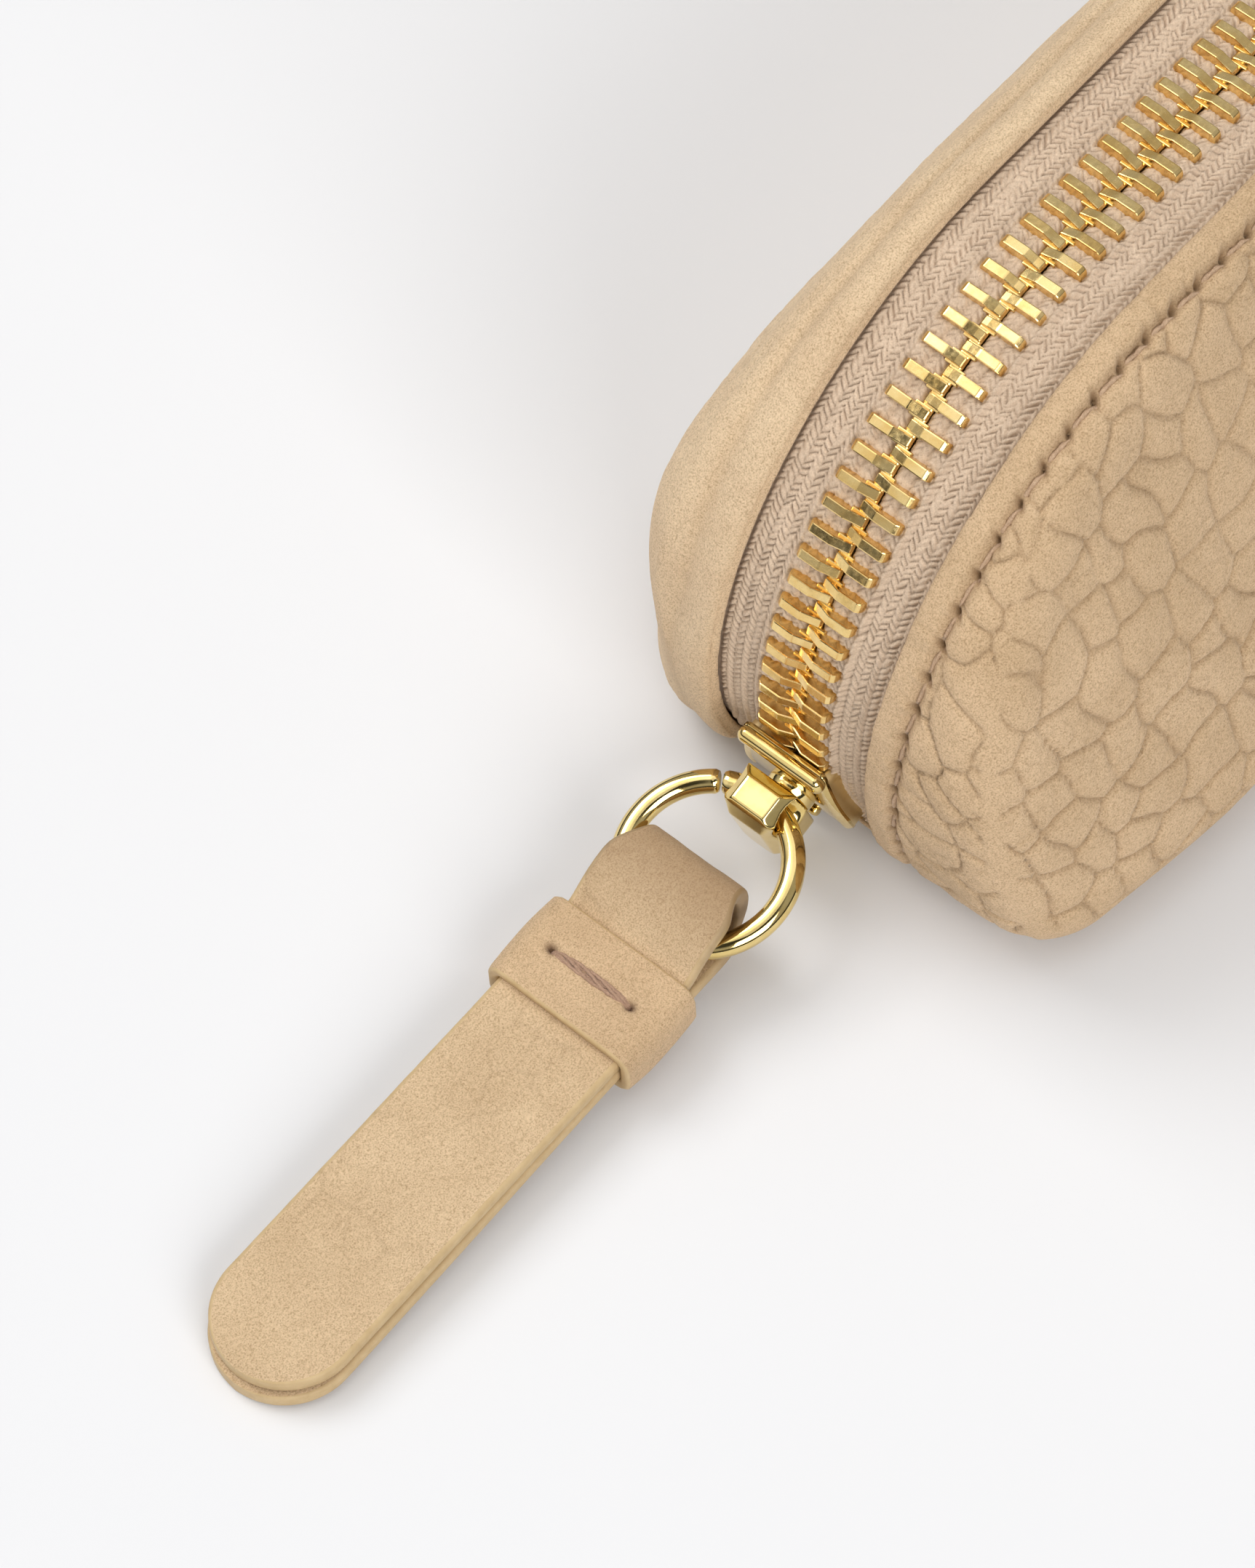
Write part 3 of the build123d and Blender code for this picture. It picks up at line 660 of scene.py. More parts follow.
def stitches(panel):
    """Plied thread stitches laid in the groove of the front panel."""
    half_run = ARC_X + arc_run(STITCH_END)
    first = math.ceil((ARC_X - half_run) / STITCH_PITCH)
    last = math.floor((ARC_X + half_run) / STITCH_PITCH)
    parts = []
    rng = np.random.default_rng(61)
    for index in range(first, last):
        start = index * STITCH_PITCH
        share = np.linspace(0, 1, 15)
        s = start + share * STITCH_PITCH
        slant = 0.13 * (1 - 2 * share) + rng.uniform(-0.04, 0.04)
        y = -(STITCH_Y + 0.02 - slant)
        outer = bend(s, y, RIM_R + 4)
        inner = bend(s, y, RIM_R - 6)
        path = []
        for out, inside, along in zip(outer, inner, share):
            direction = Vector(inside - out).normalized()
            hit, place, normal, _ = panel.ray_cast(Vector(out) * MM, direction)
            surface = Vector(place) / MM if hit else Vector(out + (inside - out) * 0.45)
            normal = Vector(normal) if hit else -direction
            dip = 0.66 * (abs(2 * along - 1) ** 4)
            path.append(np.array(surface + normal * (0.06 - dip)))
        path = np.array(path)
        soften(path)
        parts.append(tube(path, 0.19, 12, 3, 6.5, 0.36))
    points, faces = join_parts(parts)
    painted_shade = np.zeros(len(points))
    piece = add_mesh("rim_stitch_thread", points, faces, [RIM_YARN], "pouch", painted_shade)
    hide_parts("rim_stitches")


# ---- zipper tape
TAPE_STEP = 0.1
TAPE_HALF = 7.6
TAPE_END = 118.0
BEAD_Y = 1.45
WEAVE_COL = 0.64
WEAVE_ROW = 0.60
PART_START = 102.0
PART_SPAN = 13.0
PART_WIDTH = 1.35


def parted(s):
    """How far each row stands from the middle inside the slider."""
    return PART_WIDTH * smooth(np.degrees(-s / TAPE_MID_R), PART_START, PART_START + PART_SPAN)


def weave(s, y):
    """Height and shade of the tape's chevron weave, with loops beside the teeth."""
    column = np.floor(y / WEAVE_COL)
    cx = y / WEAVE_COL - column - 0.5
    lean = np.where(column % 2 == 0, 1.0, -1.0)
    jitter = 0.36 * wave_noise(s, y, 71, 1.0)
    cy = s / WEAVE_ROW + lean * cx * 0.95 + 0.5 * (column % 2) + jitter
    row = np.floor(cy)
    cy = cy - row - 0.5
    fat = 0.74 + 0.5 * hash_pair(row, column, 72)[0]
    long_way = np.clip(1 - (cx / 0.56) ** 2, 0, 1)
    short_way = np.clip(1 - (cy / (0.46 * fat)) ** 2, 0, 1)
    loop = np.sqrt(long_way) * np.sqrt(short_way)
    plies = 0.022 * np.cos(6.28 * (cx * 0.7 + cy * 2.4)) * loop
    return 0.30 * loop + plies, 1 - smooth(loop, 0.1, 0.62)


def chain_loops(s, y, side):
    """Tight loops of yarn round each tooth's outer end, between the teeth, with painted shade between
    their ribs.
    """
    shift = TOOTH_PITCH / 2 if side > 0 else 0.0
    first = shift - arc_run(CHAIN_START)
    phase = (s - first) / TOOTH_PITCH % 1.0
    between = np.cos(2 * math.pi * (phase - 0.5)) * 0.5 + 0.5
    ribs = 0.5 + 0.5 * np.cos(2 * math.pi * (s - first) / (TOOTH_PITCH / 3))
    near = 1 - smooth(y, 3.25, 3.75)
    collar = bell(y, 3.42, 0.26)
    crown = 0.30 * between ** 0.6 * near + 0.22 * collar
    cross = 0.10 * ribs * near * (0.5 + 0.5 * np.cos(2 * math.pi * y / 0.42))
    return crown + cross, 0.45 * near * (1 - ribs) * 0.5


def tape(node, side):
    """Woven tape as one closed strip, every yarn loop standing up from it."""
    start = -arc_run(TAPE_END)
    end = 2 * ARC_X + arc_run(TAPE_END)
    rows = int((end - start) / TAPE_STEP)
    s = np.linspace(start, end, rows)[:, None]
    tail = smooth(np.abs(s - ARC_X), ARC_X + arc_run(111), ARC_X + arc_run(114))
    edge_y = TAPE_HALF - 1.1 * tail
    parting = parted(s)
    inner_y = 0.56 + parting
    cols = int(7.0 / TAPE_STEP)
    share = np.linspace(0, 1, cols)[None, :]
    y = inner_y + (edge_y - inner_y) * share
    s = s + 0 * y
    from_chain = y - parting
    rise, gap = weave(s, from_chain)
    loops, rib_gap_shade = chain_loops(s, from_chain, side)
    open_part = smooth(from_chain, 3.5, 3.9)
    calm = 1 - smooth(y, 6.7, 7.1)
    over_cord = 1 - smooth(from_chain, 1.9, 2.3)
    cord = 0.56 * np.sqrt(np.clip(1 - ((from_chain - 1.35) / 0.95) ** 2, 0.0, None)) - 0.42
    height = (rise * (0.55 + 0.45 * open_part) + loops) * calm * (1 - over_cord)
    height += over_cord * (cord + 0.5 * rise)
    height += 0.05 * wave_noise(s, y, 74, 3.0)
    # Painted shade between the weave's loops, between the chain loops' ribs, and where the tape runs under
    # the leather rim.
    shade = np.clip((gap * 0.62 + rib_gap_shade) * calm + 0.5 * smooth(y, 6.45, 6.95), 0, 0.95)
    top = bend(s, side * y, TAPE_OUT_R - 0.17 + height)
    under = bend(s, side * y, TAPE_OUT_R - TAPE_T)[:, ::-6]
    loop = np.concatenate([top, under], axis=1)
    # Painted shade, even, on the tape's hidden underside.
    painted_shade = np.concatenate([shade, 0.2 + 0 * under[..., 0]], axis=1)
    points, faces = sweep(loop)
    piece = add_mesh(node + "_weave", points, faces, [TAPE_YARN], "pouch", painted_shade)
    fix_normals(piece)
    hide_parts(node)


def bead(node, side):
    """Plied cord that the teeth grip."""
    s = np.arange(-arc_run(CHAIN_START), 2 * ARC_X + arc_run(CHAIN_END - 1), 0.22)
    path = bend(s, side * (BEAD_Y + parted(s)), TAPE_MID_R)
    points, faces = tube(path, 0.36, 10, 3, 4.2, 0.25)
    # A light, even painted shade on the cord between the teeth.
    painted_shade = np.full(len(points), 0.1)
    piece = add_mesh(node + "_cord", points, faces, [TAPE_YARN], "pouch", painted_shade)
    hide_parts(node)


def lining(node, side, most):
    """Cloth lining, lightly puckered, following the drawn-in wall."""
    mesh, work = cad_copy(node, node + "_cloth", 0.001)
    for _ in range(5):
        long_edges = [edge for edge in work.edges if edge.calc_length() > 3.5 * MM]
        if long_edges:
            bmesh.ops.subdivide_edges(work, edges=long_edges, cuts=1)
            many_sided = [face for face in work.faces if len(face.verts) > 4]
            bmesh.ops.triangulate(work, faces=many_sided)
    closed(work, mesh)
    points = read_points(mesh)
    points[:, 1] -= side * end_draw(points, most)
    inward = 0.10 + 0.10 * np.abs(wave_noise(points[:, 0], points[:, 2], 81, 3.0))
    points[:, 1] -= side * inward * smooth(np.abs(points[:, 1]), 8.6, 11.0)
    points[:, 0] *= 0.998
    write_points(mesh, points)
    painted_shade = np.zeros(len(points))
    piece = add_piece(node + "_cloth", mesh, [LINING_CLOTH], "pouch", painted_shade)
    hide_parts(node)


# ---- teeth and stops
TOOTH_HALF = 0.40
HOOK_HALF = 0.57


def break_edges(work, turn, width, segments):
    """Bevel the edges where two faces turn by more than a number of degrees."""
    sharp = [edge for edge in work.edges if edge.calc_face_angle(0) > math.radians(turn)]
    bmesh.ops.bevel(work, geom=sharp, offset=width, segments=segments, profile=0.6, affect="EDGES",
                    clamp_overlap=True)


def mirrored(upper):
    """An outline of (y, rise) points, closed by its own mirror image below."""
    return upper + [(y, -rise) for y, rise in reversed(upper) if rise]


def tooth_shape():
    """One bevelled tooth: (along, y, height from the tape's middle)."""
    outline = mirrored([(3.08, 0.0), (3.08, 0.62), (2.98, 0.98), (2.72, 1.2), (1.02, 1.2), (0.16, 0.86),
                        (-0.42, 0.66), (-0.52, 0.0)])
    hook = mirrored([(0.95, 0.52), (-0.34, 0.50), (-0.50, 0.34)])
    work = bmesh.new()
    for section, half in ((outline, TOOTH_HALF), (hook, HOOK_HALF)):
        low = [work.verts.new((-half, y, rise)) for y, rise in section]
        high = [work.verts.new((half, y, rise)) for y, rise in section]
        count = len(section)
        work.faces.new(low[::-1])
        work.faces.new(high)
        for index in range(count):
            after = (index + 1) % count
            work.faces.new((low[index], low[after], high[after], high[index]))
    bmesh.ops.recalc_face_normals(work, faces=work.faces)
    break_edges(work, 15, 0.095, 2)
    work.verts.index_update()
    points = np.array([vert.co for vert in work.verts])
    faces = [[vert.index for vert in face.verts] for face in work.faces]
    work.free()
    return points, faces


def teeth(node, side):
    """One row of teeth, parting inside the slider."""
    shape, shape_faces = tooth_shape()
    if side < 0:
        shape_faces = [face[::-1] for face in shape_faces]
    first = (TOOTH_PITCH / 2 if side > 0 else 0) - arc_run(CHAIN_START)
    last = 2 * ARC_X + arc_run(CHAIN_END)
    s = first + TOOTH_PITCH * np.arange(int((last - first) / TOOTH_PITCH) + 1)
    origin, tangent, outward = chain_frames(s)
    parting = parted(s)
    rng = np.random.default_rng(91 + side)
    parts = []
    for index in range(len(s)):
        lean = rng.uniform(-0.018, 0.018)
        along = shape[:, 0] + lean * shape[:, 1]
        y = side * (shape[:, 1] + parting[index] + rng.uniform(-0.03, 0.03))
        rise = TAPE_MID_R + shape[:, 2] + rng.uniform(-0.02, 0.02)
        points = origin[index] + along[:, None] * tangent[index] + rise[:, None] * outward[index]
        points[:, 1] += y
        parts.append((points, shape_faces))
    points, faces = join_parts(parts)
    piece = add_mesh(node + "_brass", points, faces, [TEETH_BRASS], "pouch")
    piece.data.polygons.foreach_set("use_smooth", [False] * len(piece.data.polygons))
    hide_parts(node)


def bevelled(node, name, width, material, body):
    """A CAD node's shape with its edges broken."""
    mesh, work = cad_copy(node, name, 0.002)
    bmesh.ops.dissolve_limit(work, angle_limit=math.radians(1.0), verts=work.verts, edges=work.edges)
    break_edges(work, 24, width * MM, 3)
    closed(work, mesh)
    piece = add_piece(name, mesh, [material], body)
    mesh.set_sharp_from_angle(angle=math.radians(28))
    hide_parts(node)


# ---- slider, block and ring
PLATE_GAP = 1.45
BARREL = 0.55
RING_CUT = 27.0
RING_CUT_WIDTH = 3.6


def slider_place(t, y, r):
    """Points on the slider: t towards its nose, y across, r from the arc's centre."""
    turn = math.radians(SLIDER_AT) + np.asarray(t) / TAPE_MID_R
    x = -ARC_X - r * np.sin(turn)
    return np.stack([x + 0 * y, y + 0 * x, ARC_Z + r * np.cos(turn) + 0 * y], axis=-1)


def rounded_slab(stations, middle, half_width, low, high, corner, steps=6, dome=0.0):
    """Bar along the slider with every edge rounded, its top falling by dome at the sides."""
    start, end = stations[0], stations[-1]
    turn = np.linspace(0, math.pi / 2, steps)
    cap = corner * (1 - np.cos(turn))
    inner = np.arange(start + corner, end - corner, 0.3)
    t = np.concatenate([start + cap, inner[1:], end - cap[::-1]])
    nearest = np.minimum(t - start, end - t)
    inset = corner - rounded_end(nearest, corner)
    centre = np.interp(t, stations, middle)
    wide = np.interp(t, stations, half_width)
    soften(wide, 2)
    soften(centre, 2)
    sections = []
    for index, place in enumerate(t):
        shrink = inset[index]
        radius = max(corner - shrink, 0.02)
        half = wide[index] - shrink - radius
        bottom = low + shrink + radius
        top = high - shrink - radius
        ring = []
        corners = ((1, top, 0), (-1, top, 1), (-1, bottom, 2), (1, bottom, 3))
        for sign, height, quarter in corners:
            angle = turn + quarter * math.pi / 2
            off = sign * half + radius * np.cos(angle)
            fall = dome * (height > (low + high) / 2) * (np.abs(off) / wide[index]) ** 3
            rise = height + radius * np.sin(angle) - fall
            ring.append(slider_place(place, centre[index] + off, rise))
        sections.append(np.concatenate(ring))
    return sweep(np.array(sections))


def slider():
    """Slider body: two rounded plates, flanges, wedge and the foot of its crown."""
    plate_in = TAPE_MID_R + PLATE_GAP
    plate_out = plate_in + 0.7
    inner_r = TAPE_MID_R - PLATE_GAP
    stations = np.array([-5.3, 1.6, 3.2, 5.3])
    wide = np.array([3.65, 4.8, 4.8, 3.4])
    zero = np.zeros(4)
    parts = [
        rounded_slab(stations, zero, wide, plate_in - 0.2, plate_out, 0.44, 8, 0.26),
        rounded_slab(stations, zero, wide, inner_r - 1.1, inner_r, 0.5),
        rounded_slab([-5.35, -3.95], [0] * 2, [3.7, 3.9], plate_in - 0.02, plate_out + 0.62, 0.62, 9),
        rounded_slab([0.6, 2.0, 3.6, 5.0], [0] * 4, [0.3, 0.45, 0.75, 0.75], inner_r - 0.2, plate_in + 0.2,
                     0.2, 4),
        rounded_slab([4.2, 5.2], [0] * 2, [1.4, 1.4], plate_out - 0.3, plate_out + 0.5, 0.3, 5),
    ]
    plates = len(parts)
    for side in (-1, 1):
        middle = side * (wide - BARREL)[:-1]
        half = np.full(3, BARREL)
        inside = stations[:-1] + np.array([1.0, 0, 0])
        parts.append(rounded_slab(inside, middle, half, TAPE_MID_R - 0.2, plate_out - 0.12, 0.5, 8))
        parts.append(rounded_slab(inside, middle, half, inner_r - 0.7, TAPE_MID_R - 0.36, 0.4, 6))
    sides = len(parts)
    boss_t = arc_run(SWIVEL_AT - SLIDER_AT)
    boss = []
    angle = circle(40)
    for reach, height in ((1.9, -0.2), (1.9, 0.46), (1.84, 0.56), (1.74, 0.6), (0.9, 0.6)):
        t, y = boss_t + reach * np.sin(angle), reach * np.cos(angle)
        boss.append(slider_place(t, y, plate_out + height))
    parts.append(sweep(np.array(boss)))
    points, faces = join_parts(parts)
    satin = [np.full(len(part[1]), int(plates <= index < sides)) for index, part in enumerate(parts)]
    piece = add_mesh("slider_brass", points, faces, [POLISHED, SATIN], "slider", None,
                     np.concatenate(satin))
    fix_normals(piece)
    piece.data.set_sharp_from_angle(angle=math.radians(50))
    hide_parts("slider_body")


def block():
    """Cast swivel block, its edges softened by polishing."""
    mesh = remeshed("swivel_block", 0.075, "swivel_block_cast")
    write_points(mesh, relax(mesh, read_points(mesh), 9))
    piece = add_piece("swivel_block_brass", mesh, [POLISHED], "swivel")
    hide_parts("swivel_block")


def split_ring():
    """Round wire ring with a narrow cut beside the block."""
    centre = (EYE + FAR_SIDE) / 2
    ring_r = (EYE - FAR_SIDE).length / 2
    run = (EYE - FAR_SIDE).normalized()
    across = Vector((0, 1, 0))
    up = run.cross(across)
    wire = node_box("split_ring")[1].y - EYE.y - ring_r
    start, end = math.radians(RING_CUT + RING_CUT_WIDTH), math.radians(RING_CUT + 360)
    ends = 0.12
    turn = np.linspace(start, end, 160)
    dist = np.minimum(turn - start, end - turn) * ring_r
    radii = wire - ends + rounded_end(dist, ends)
    loop = []
    around = circle(32)
    for angle, radius in zip(turn, radii):
        out = np.array(run) * math.cos(angle) + np.array(across) * math.sin(angle)
        spot = np.array(centre) + ring_r * out
        rim = np.cos(around)[:, None] * out + np.sin(around)[:, None] * np.array(up)
        loop.append(spot + radius * rim)
    points, faces = sweep(np.array(loop))
    piece = add_mesh("split_ring_brass", points, faces, [POLISHED], "ring")
    fix_normals(piece)
    piece.data.set_sharp_from_angle(angle=math.radians(60))
    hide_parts("split_ring")


# ---- pull tab
STRAP_PITCH = math.radians(3.2)
STRAP_W = 11.0
STRAP_T = 1.3
STRAP_LEN = 50.9
FOLD_REACH = 6.4
STRAP_LOW = -2.32
TAB_Y = (node_box("pull_strap")[0].y + node_box("pull_strap")[1].y) / 2
KEEPER_START = 8.7
KEEPER_LEN = 7.5
KEEPER_T = 1.0
KEEPER_GAP = 0.16
THREAD_SPAN = 3.6
TAB_AHEAD = np.array([-math.cos(STRAP_PITCH), 0, -math.sin(STRAP_PITCH)])
TAB_UP = np.array([-math.sin(STRAP_PITCH), 0, math.cos(STRAP_PITCH)])


def tab_place(s, w, h):
    """Points on the tab: s from the fold's end, w across, h above its underside."""
    s, w, h = np.broadcast_arrays(s, w, h)
    points = np.array(FAR_SIDE) + (s - FOLD_REACH)[..., None] * TAB_AHEAD
    points = points + (STRAP_LOW + h)[..., None] * TAB_UP
    points[..., 1] = TAB_Y + w
    return points


def strap_path():
    """Middle line of the leather, from the lower tip round the fold to the upper tip."""
    under = [(STRAP_LEN, 0.67), (40, 0.66), (3.2, 0.66), (2.0, 0.7), (1.15, 1.05), (0.72, 1.8)]
    fold = [(0.66, 2.8), (0.85, 3.9), (1.5, 4.75), (2.7, 5.1), (4.1, 4.95), (5.6, 4.45), (6.9, 3.6)]
    over = [(8.0, 2.65), (9.2, 2.12), (11, 2.06), (25, 2.06), (40, 2.08), (STRAP_LEN - 0.45, 2.12)]
    knots = np.array(under + fold + over)
    run = run_along(knots)
    even = np.linspace(0, run[-1], int(run[-1] / 0.21))
    path = np.stack([np.interp(even, run, knots[:, axis]) for axis in range(2)], axis=1)
    soften(path, 12)
    return path


def strap():
    """Strap of napped leather folded round the ring, with painted edges."""
    path = strap_path()
    tip = STRAP_W / 2
    run = run_along(path)
    total = run[-1]
    cap = tip * (1 - np.cos(np.linspace(0, math.pi / 2, 26)))
    inner = run[(run > tip) & (run < total - tip)]
    stops = np.concatenate([cap, inner, total - cap[::-1]])
    s = np.interp(stops, run, path[:, 0])
    h = np.interp(stops, run, path[:, 1])
    ds, dh = np.gradient(s, stops), np.gradient(h, stops)
    size = np.hypot(ds, dh)
    normal = np.stack([dh / size, -ds / size], axis=1)
    nearest = np.minimum(stops, total - stops)
    half = rounded_end(nearest, tip)
    in_fold = np.exp(-((stops - total / 2) / 3.4) ** 4)
    half = np.maximum(half - 1.2 * in_fold, 0.02)
    # Painted shade over the fold round the ring, standing also for the darker suede there.
    fold = np.exp(-((stops - total / 2) / 7.0) ** 4)
    lower = 1 - smooth(stops, total / 2 - 2, total / 2 + 2)
    columns = 44
    corner = 0.34
    share = np.linspace(-1, 1, columns)
    turn = np.linspace(0, math.pi / 2, 5)[1:]
    thick = STRAP_T / 2
    rows, painted_shade = [], []
    for index in range(len(stops)):
        width = max(half[index] - corner, 0.0)
        w_top = share * width
        edge = min(corner, half[index])
        right_w = np.concatenate([width + edge * np.sin(turn), width + edge * np.cos(turn)])
        right_n = np.concatenate([edge * np.cos(turn), -edge * np.sin(turn)])
        right_n += np.repeat([thick - edge, edge - thick], len(turn))
        w = np.concatenate([w_top, right_w, -w_top, -right_w])
        n = np.concatenate([np.full(columns, thick), right_n, np.full(columns, -thick), -right_n])
        dome = (w / (STRAP_W / 2)) ** 2
        along = np.full(w.shape, stops[index])
        skin = np.abs(n) > thick * 0.8
        wrinkle = wave_noise(along, w, 101, 4.0) * 0.05 + wave_noise(along, w, 104, 1.1) * 0.018
        _, border = cells(along * 0.7 + 0.5 * wave_noise(along, w, 102, 2.0), w * 1.1, 2.6, 105)
        line = bell(border, 0, 0.07) * skin * smooth(wave_noise(along, w, 103, 6.0), -0.1, 0.6)
        n = n + np.sign(n) * (wrinkle - 0.04 * line - 0.05 * dome)
        offset = -0.2 * lower[index] * smooth(abs(s[index]), 14, 46)
        level, rise = s[index] + n * normal[index, 0], h[index] + n * normal[index, 1]
        rows.append(tab_place(level, w + offset, rise))
        # Painted shade in the fine crease lines and over the fold.
        painted_shade.append(0.2 * line + 0.58 * fold[index])
    loops = len(rows[0])
    points, faces = sweep(np.array(rows))
    per_face = np.tile(np.arange(loops), len(stops) - 1)
    side_steps = 2 * len(turn)
    right = (per_face >= columns - 1) & (per_face < columns + side_steps)
    left = per_face >= 2 * columns + side_steps - 1
    slots = np.concatenate([(right | left).astype(int), [1, 1]])
    piece = add_mesh("pull_strap_leather", points, faces, [TAB_LEATHER, EDGE_PAINT], "tab",
                     np.array(painted_shade), slots)
    fix_normals(piece)
    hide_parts("pull_strap")


def rounded_loop(half_w, low, high, corner, step=0.22):
    """Closed loop of (w, h) points round a rounded rectangle, with outward directions."""
    steps = max(int(corner * math.pi / 2 / step), 4)
    arcs = []
    for sign, height, quarter in ((1, high, 0), (-1, high, 1), (-1, low, 2), (1, low, 3)):
        inset = corner if quarter < 2 else -corner
        angle = np.linspace(0, math.pi / 2, steps) + quarter * math.pi / 2
        way = np.stack([np.cos(angle), np.sin(angle)], axis=1)
        centre = np.array([sign * (half_w - corner), height - inset])
        arcs.append((centre + corner * way, way))
    points, ways = [], []
    for (arc, way), (after, way_after) in zip(arcs, arcs[1:] + arcs[:1]):
        gap = after[0] - arc[-1]
        count = max(int(np.linalg.norm(gap) / step), 1)
        points += [arc, arc[-1] + gap * (np.arange(1, count) / count)[:, None]]
        ways += [way, np.repeat(way_after[:1], count - 1, axis=0)]
    return np.concatenate(points), np.concatenate(ways)


def keeper():
    """Suede band round both layers, soft at its edges, pierced for its stitch."""
    thick = KEEPER_T
    inner, ways = rounded_loop(STRAP_W / 2 + 0.06, -0.04, 2 * STRAP_T + KEEPER_GAP, 0.45)
    length = KEEPER_LEN
    edge = 0.3
    quarter = np.linspace(0, math.pi / 2, 5)
    across = [(edge * (1 - math.sin(a)), thick - edge * (1 - math.cos(a))) for a in quarter[::-1]]
    flat = [(t, thick) for t in np.arange(edge + 0.22, length - edge - 0.1, 0.22)]
    outer = across + flat + [(length - a, b) for a, b in across[::-1]]
    low_edge = [(length - 0.06, 0.25), (length - 0.25, 0.03)]
    inside = [(t, 0.0) for t in np.arange(length - 0.6, 0.5, -0.5)]
    profile = outer + low_edge + inside + [(0.25, 0.03), (0.06, 0.25)]
    top = smooth(ways[:, 1], 0.3, 0.9)
    middle = length / 2
    rows, painted_shade = [], []
    for t, reach in profile:
        outward = smooth(np.array(reach), 0.5, 1.0)
        pillow = 0.16 * math.sin(math.pi * t / length) * outward
        lumps = 0.07 * wave_noise(inner[:, 0] + 40, np.full(len(inner), t), 111, 2.6) * outward
        pits = np.zeros(len(inner))
        for sign in (-1, 1):
            far = ((inner[:, 0] - sign * THREAD_SPAN) / 0.42) ** 2 + ((t - middle) / 0.3) ** 2
            pits += np.exp(-far) * top * outward
        under_thread = np.abs(inner[:, 0]) < THREAD_SPAN
        dent = 0.10 * bell(t, middle, 0.55) * under_thread * top * outward
        place = inner + ways * (reach + pillow + lumps - 0.75 * pits - dent)[:, None]
        rows.append(tab_place(KEEPER_START + t, place[:, 0], place[:, 1]))
        # Painted shade in the stitch holes and in the dent under the thread.
        painted_shade.append(np.clip(1.3 * pits + 0.10 * dent, 0, 0.97))
    count = len(inner)
    faces = grid_faces(len(rows), count, wrap_rows=True)
    row_of_face = np.repeat(np.arange(len(rows)), count)
    first_flat, last_flat = 3, len(outer) - 4
    slots = ((row_of_face < first_flat) | (row_of_face >= last_flat)).astype(int)
    piece = add_mesh("pull_keeper_suede", rows, faces, [KEEPER_LEATHER, EDGE_PAINT], "tab",
                     np.array(painted_shade), slots)
    fix_normals(piece)
    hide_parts("pull_keeper")


def keeper_thread():
    """Loose strands of one thick stitch between the keeper's two holes."""
    middle = KEEPER_START + KEEPER_LEN / 2
    top = 2 * STRAP_T + KEEPER_GAP + KEEPER_T + 0.12
    share = np.linspace(0, 1, 46)
    w = THREAD_SPAN * (2 * share - 1)
    arch = np.clip(1 - np.abs(2 * share - 1) ** 7, 0, 1)
    rng = np.random.default_rng(121)
    parts = []
    strands = 6
    for strand in range(strands):
        phase = 2 * math.pi * strand / strands + rng.uniform(-0.3, 0.3)
        turn = phase + 5.2 * share + 0.4 * np.sin(3 * share + strand)
        spread = 0.26 * (0.45 + 0.55 * np.sin(math.pi * share))
        s = middle + spread * 1.25 * np.cos(turn) + 0.12 * (share - 0.5)
        h = top - 0.85 + 0.85 * arch + 0.10 * np.sin(turn) * arch
        parts.append(tube(tab_place(s, w, h), 0.15, 8, 2, 9.0, 0.3))
    points, faces = join_parts(parts)
    painted_shade = np.zeros(len(points))
    piece = add_mesh("keeper_stitch_thread", points, faces, [STITCH_YARN], "tab", painted_shade)
    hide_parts("keeper_thread")


# ---- make the pieces
panel = front_panel()
back_panel()
stitches(panel)
for side, word in ((-1, "front"), (1, "back")):
    tape(word + "_tape", side)
    bead(word + "_bead", side)
    teeth(word + "_teeth", side)
    lining(word + "_lining", side, BACK_DRAW if side > 0 else FRONT_DRAW)
bevelled("top_stops", "top_stops_brass", 0.08, TEETH_BRASS, "pouch")
bevelled("bottom_stop", "bottom_stop_brass", 0.15, TEETH_BRASS, "pouch")
slider()
bevelled("swivel_pin", "swivel_pin_brass", 0.08, POLISHED, "swivel")
block()
split_ring()
strap()
keeper()
keeper_thread()


# ---- floor, light and camera
def floor():
    """Plain pale sheet under the pouch."""
    half, level = 3000.0 * MM, -0.02 * MM
    points = [(x * half, y * half, level) for x, y in ((-1, -1), (1, -1), (1, 1), (-1, 1))]
    mesh = bpy.data.meshes.new("floor")
    mesh.from_pydata(points, [], [(0, 1, 2, 3)])
    sheet = placed("floor", mesh)
    material, tree, shader, coords = new_material("floor_white")
    patches = noise(tree, coords, 0.01, 2.0)
    tone = ramp(tree, patches, [(0.3, (0.80, 0.80, 0.81)), (0.7, (0.81, 0.81, 0.82))])
    feed(tree, shader, {"Base Color": tone, "Roughness": 0.9, "Specular IOR Level": 0.1})
    mesh.materials.append(material)


def area_light(name, place, target, size, power):
    """Soft square white light aimed at a point, all in metres."""
    data = bpy.data.lights.new(name, "AREA")
    data.shape = "SQUARE"
    data.size = size
    data.energy = power
    lamp = placed(name, data)
    lamp.location = place
    lamp.rotation_euler = (target - place).to_track_quat("-Z", "Y").to_euler()


def facing(tree, way, direction):
    """How far a way of looking points along a direction."""
    node = new_node(tree, "VectorMath", {0: way, 1: direction})
    node.operation = "DOT_PRODUCT"
    return node.outputs["Value"]


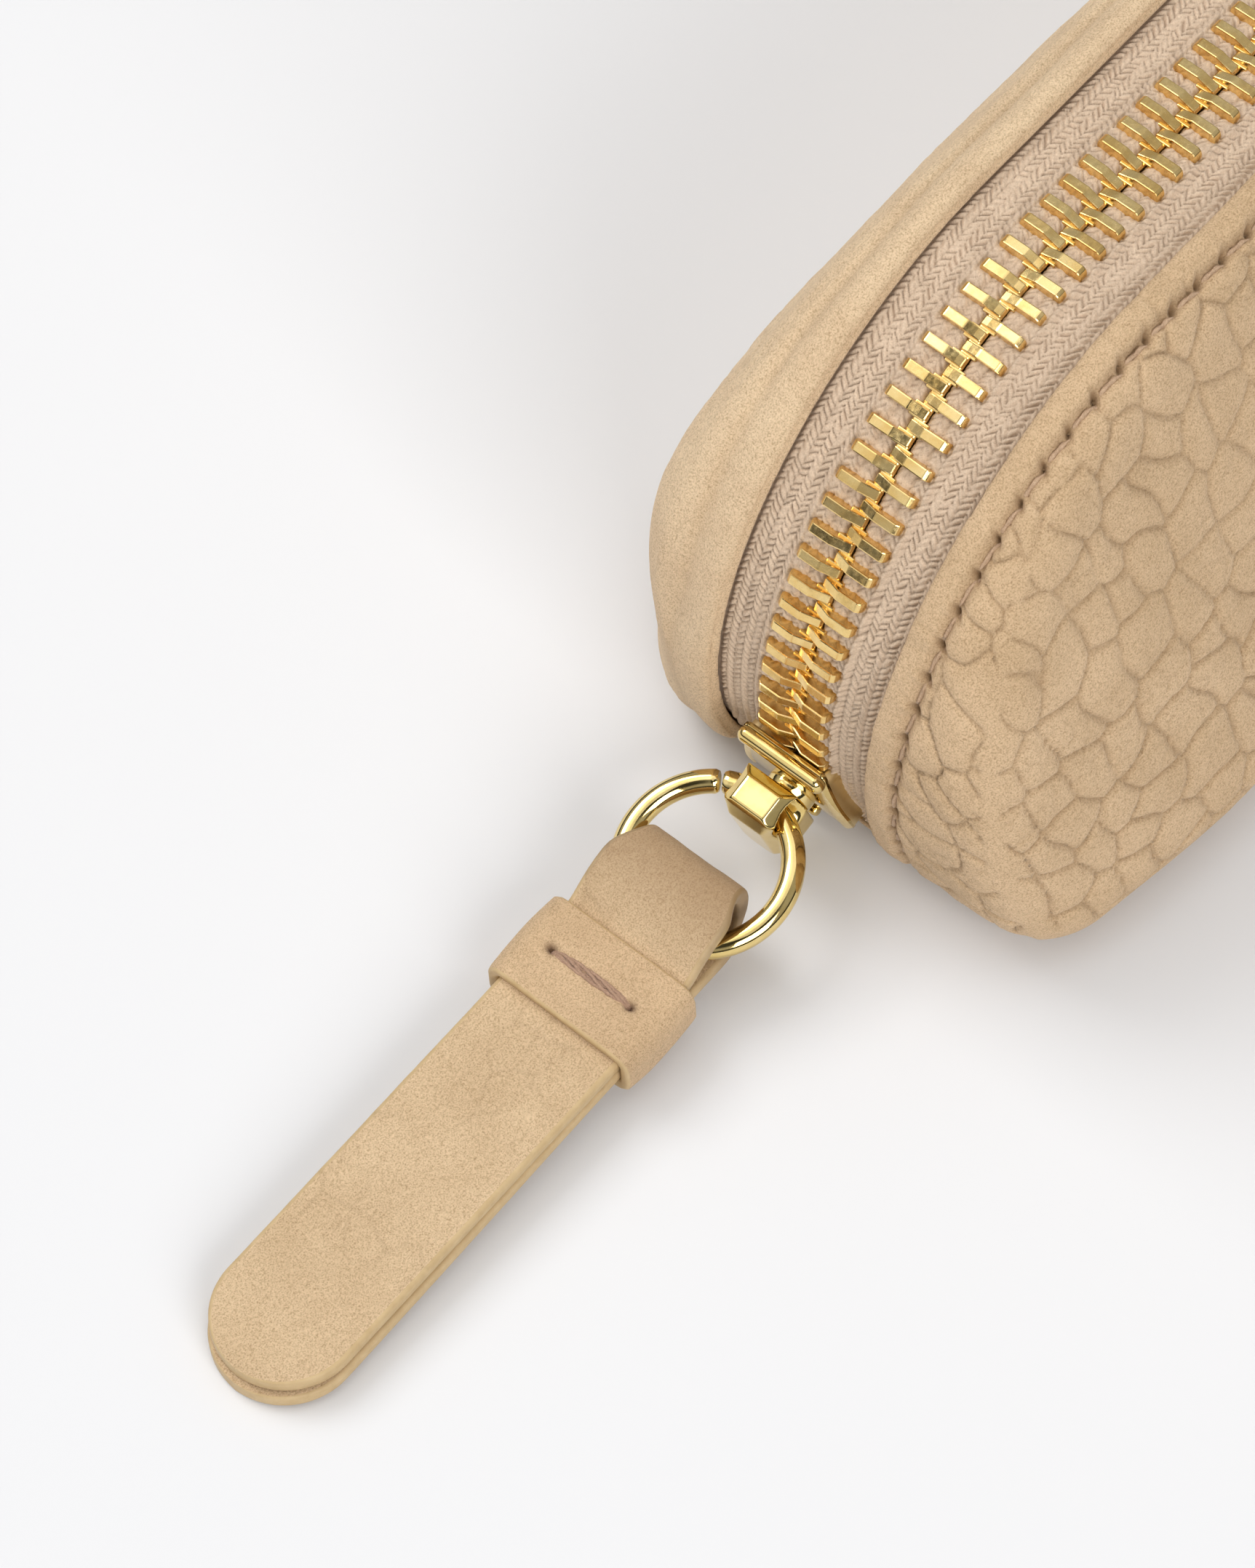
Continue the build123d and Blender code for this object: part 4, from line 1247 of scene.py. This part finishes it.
def world(strength, dark_side, bright_side):
    """Pale surroundings, darker at one side and brighter at another for the metal."""
    surroundings = bpy.data.worlds.new("studio")
    surroundings.use_nodes = True
    tree = surroundings.node_tree
    way = new_node(tree, "TexCoord", {}).outputs["Generated"]
    dark = (0.10, 0.10, 0.09)
    tone = ramp(tree, facing(tree, way, dark_side), [(0.86, (1, 1, 1)), (0.95, dark)])
    level = new_node(tree, "SeparateXYZ", {0: way})
    height = math_node(tree, "ABSOLUTE", level.outputs["Z"], 0.0)
    low = ramp(tree, height, [(0.16, dark), (0.34, (1, 1, 1))])
    glow = facing(tree, way, Vector(bright_side).normalized())
    lift = ramp(tree, glow, [(0.78, (0.42, 0.42, 0.42)), (0.94, (1, 1, 1))])
    shaded = mix(tree, "MULTIPLY", 1.0, tone, low)
    colour = mix(tree, "MULTIPLY", 1.0, shaded, lift)
    feed(tree, tree.nodes["Background"], {"Color": colour, "Strength": strength})
    bpy.context.scene.world = surroundings


VIEW_TURN = math.radians(49.886)
VIEW_LIFT = math.radians(59.378)
VIEW_LENS = 172.5
VIEW_SHIFT = (29.835, 37.467, 514.465)


def camera():
    """Long lens looking down on the closed end of the zipper."""
    right = Vector((math.cos(VIEW_TURN), -math.sin(VIEW_TURN), 0))
    flat = math.cos(VIEW_LIFT)
    back = Vector((-math.sin(VIEW_TURN) * flat, -math.cos(VIEW_TURN) * flat, math.sin(VIEW_LIFT)))
    up = back.cross(right)
    left_by, down_by, back_by = VIEW_SHIFT
    top_of_arc = Vector((-ARC_X, 0, ARC_Z + RIM_R - 1.0))
    data = bpy.data.cameras.new("camera")
    data.sensor_fit = "VERTICAL"
    data.sensor_height = 36
    data.lens = VIEW_LENS
    data.clip_start, data.clip_end = 0.02, 50
    eye = placed("camera", data)
    eye.location = (top_of_arc - left_by * right - down_by * up + back_by * back) * MM
    eye.rotation_euler = back.to_track_quat("Z", "Y").to_euler()
    bpy.context.scene.camera = eye
    return right, up, back


floor()
RIGHT, UP, BACK = camera()
TARGET = Vector((-0.08, 0, 0.01))
area_light("key", TARGET - 0.9 * RIGHT + 0.75 * UP + 0.95 * Vector((0, 0, 1)), TARGET, 0.9, 11.4)
area_light("fill", TARGET + 1.3 * Vector((-0.5, -1.0, 0.7)), TARGET, 1.0, 16.9)
area_light("top", TARGET + Vector((0, 0.1, 1.6)), TARGET, 1.4, 5.2)
world(1.0, BACK, (-0.5, 0.4, 0.78))
bpy.context.scene.view_settings.view_transform = "Standard"
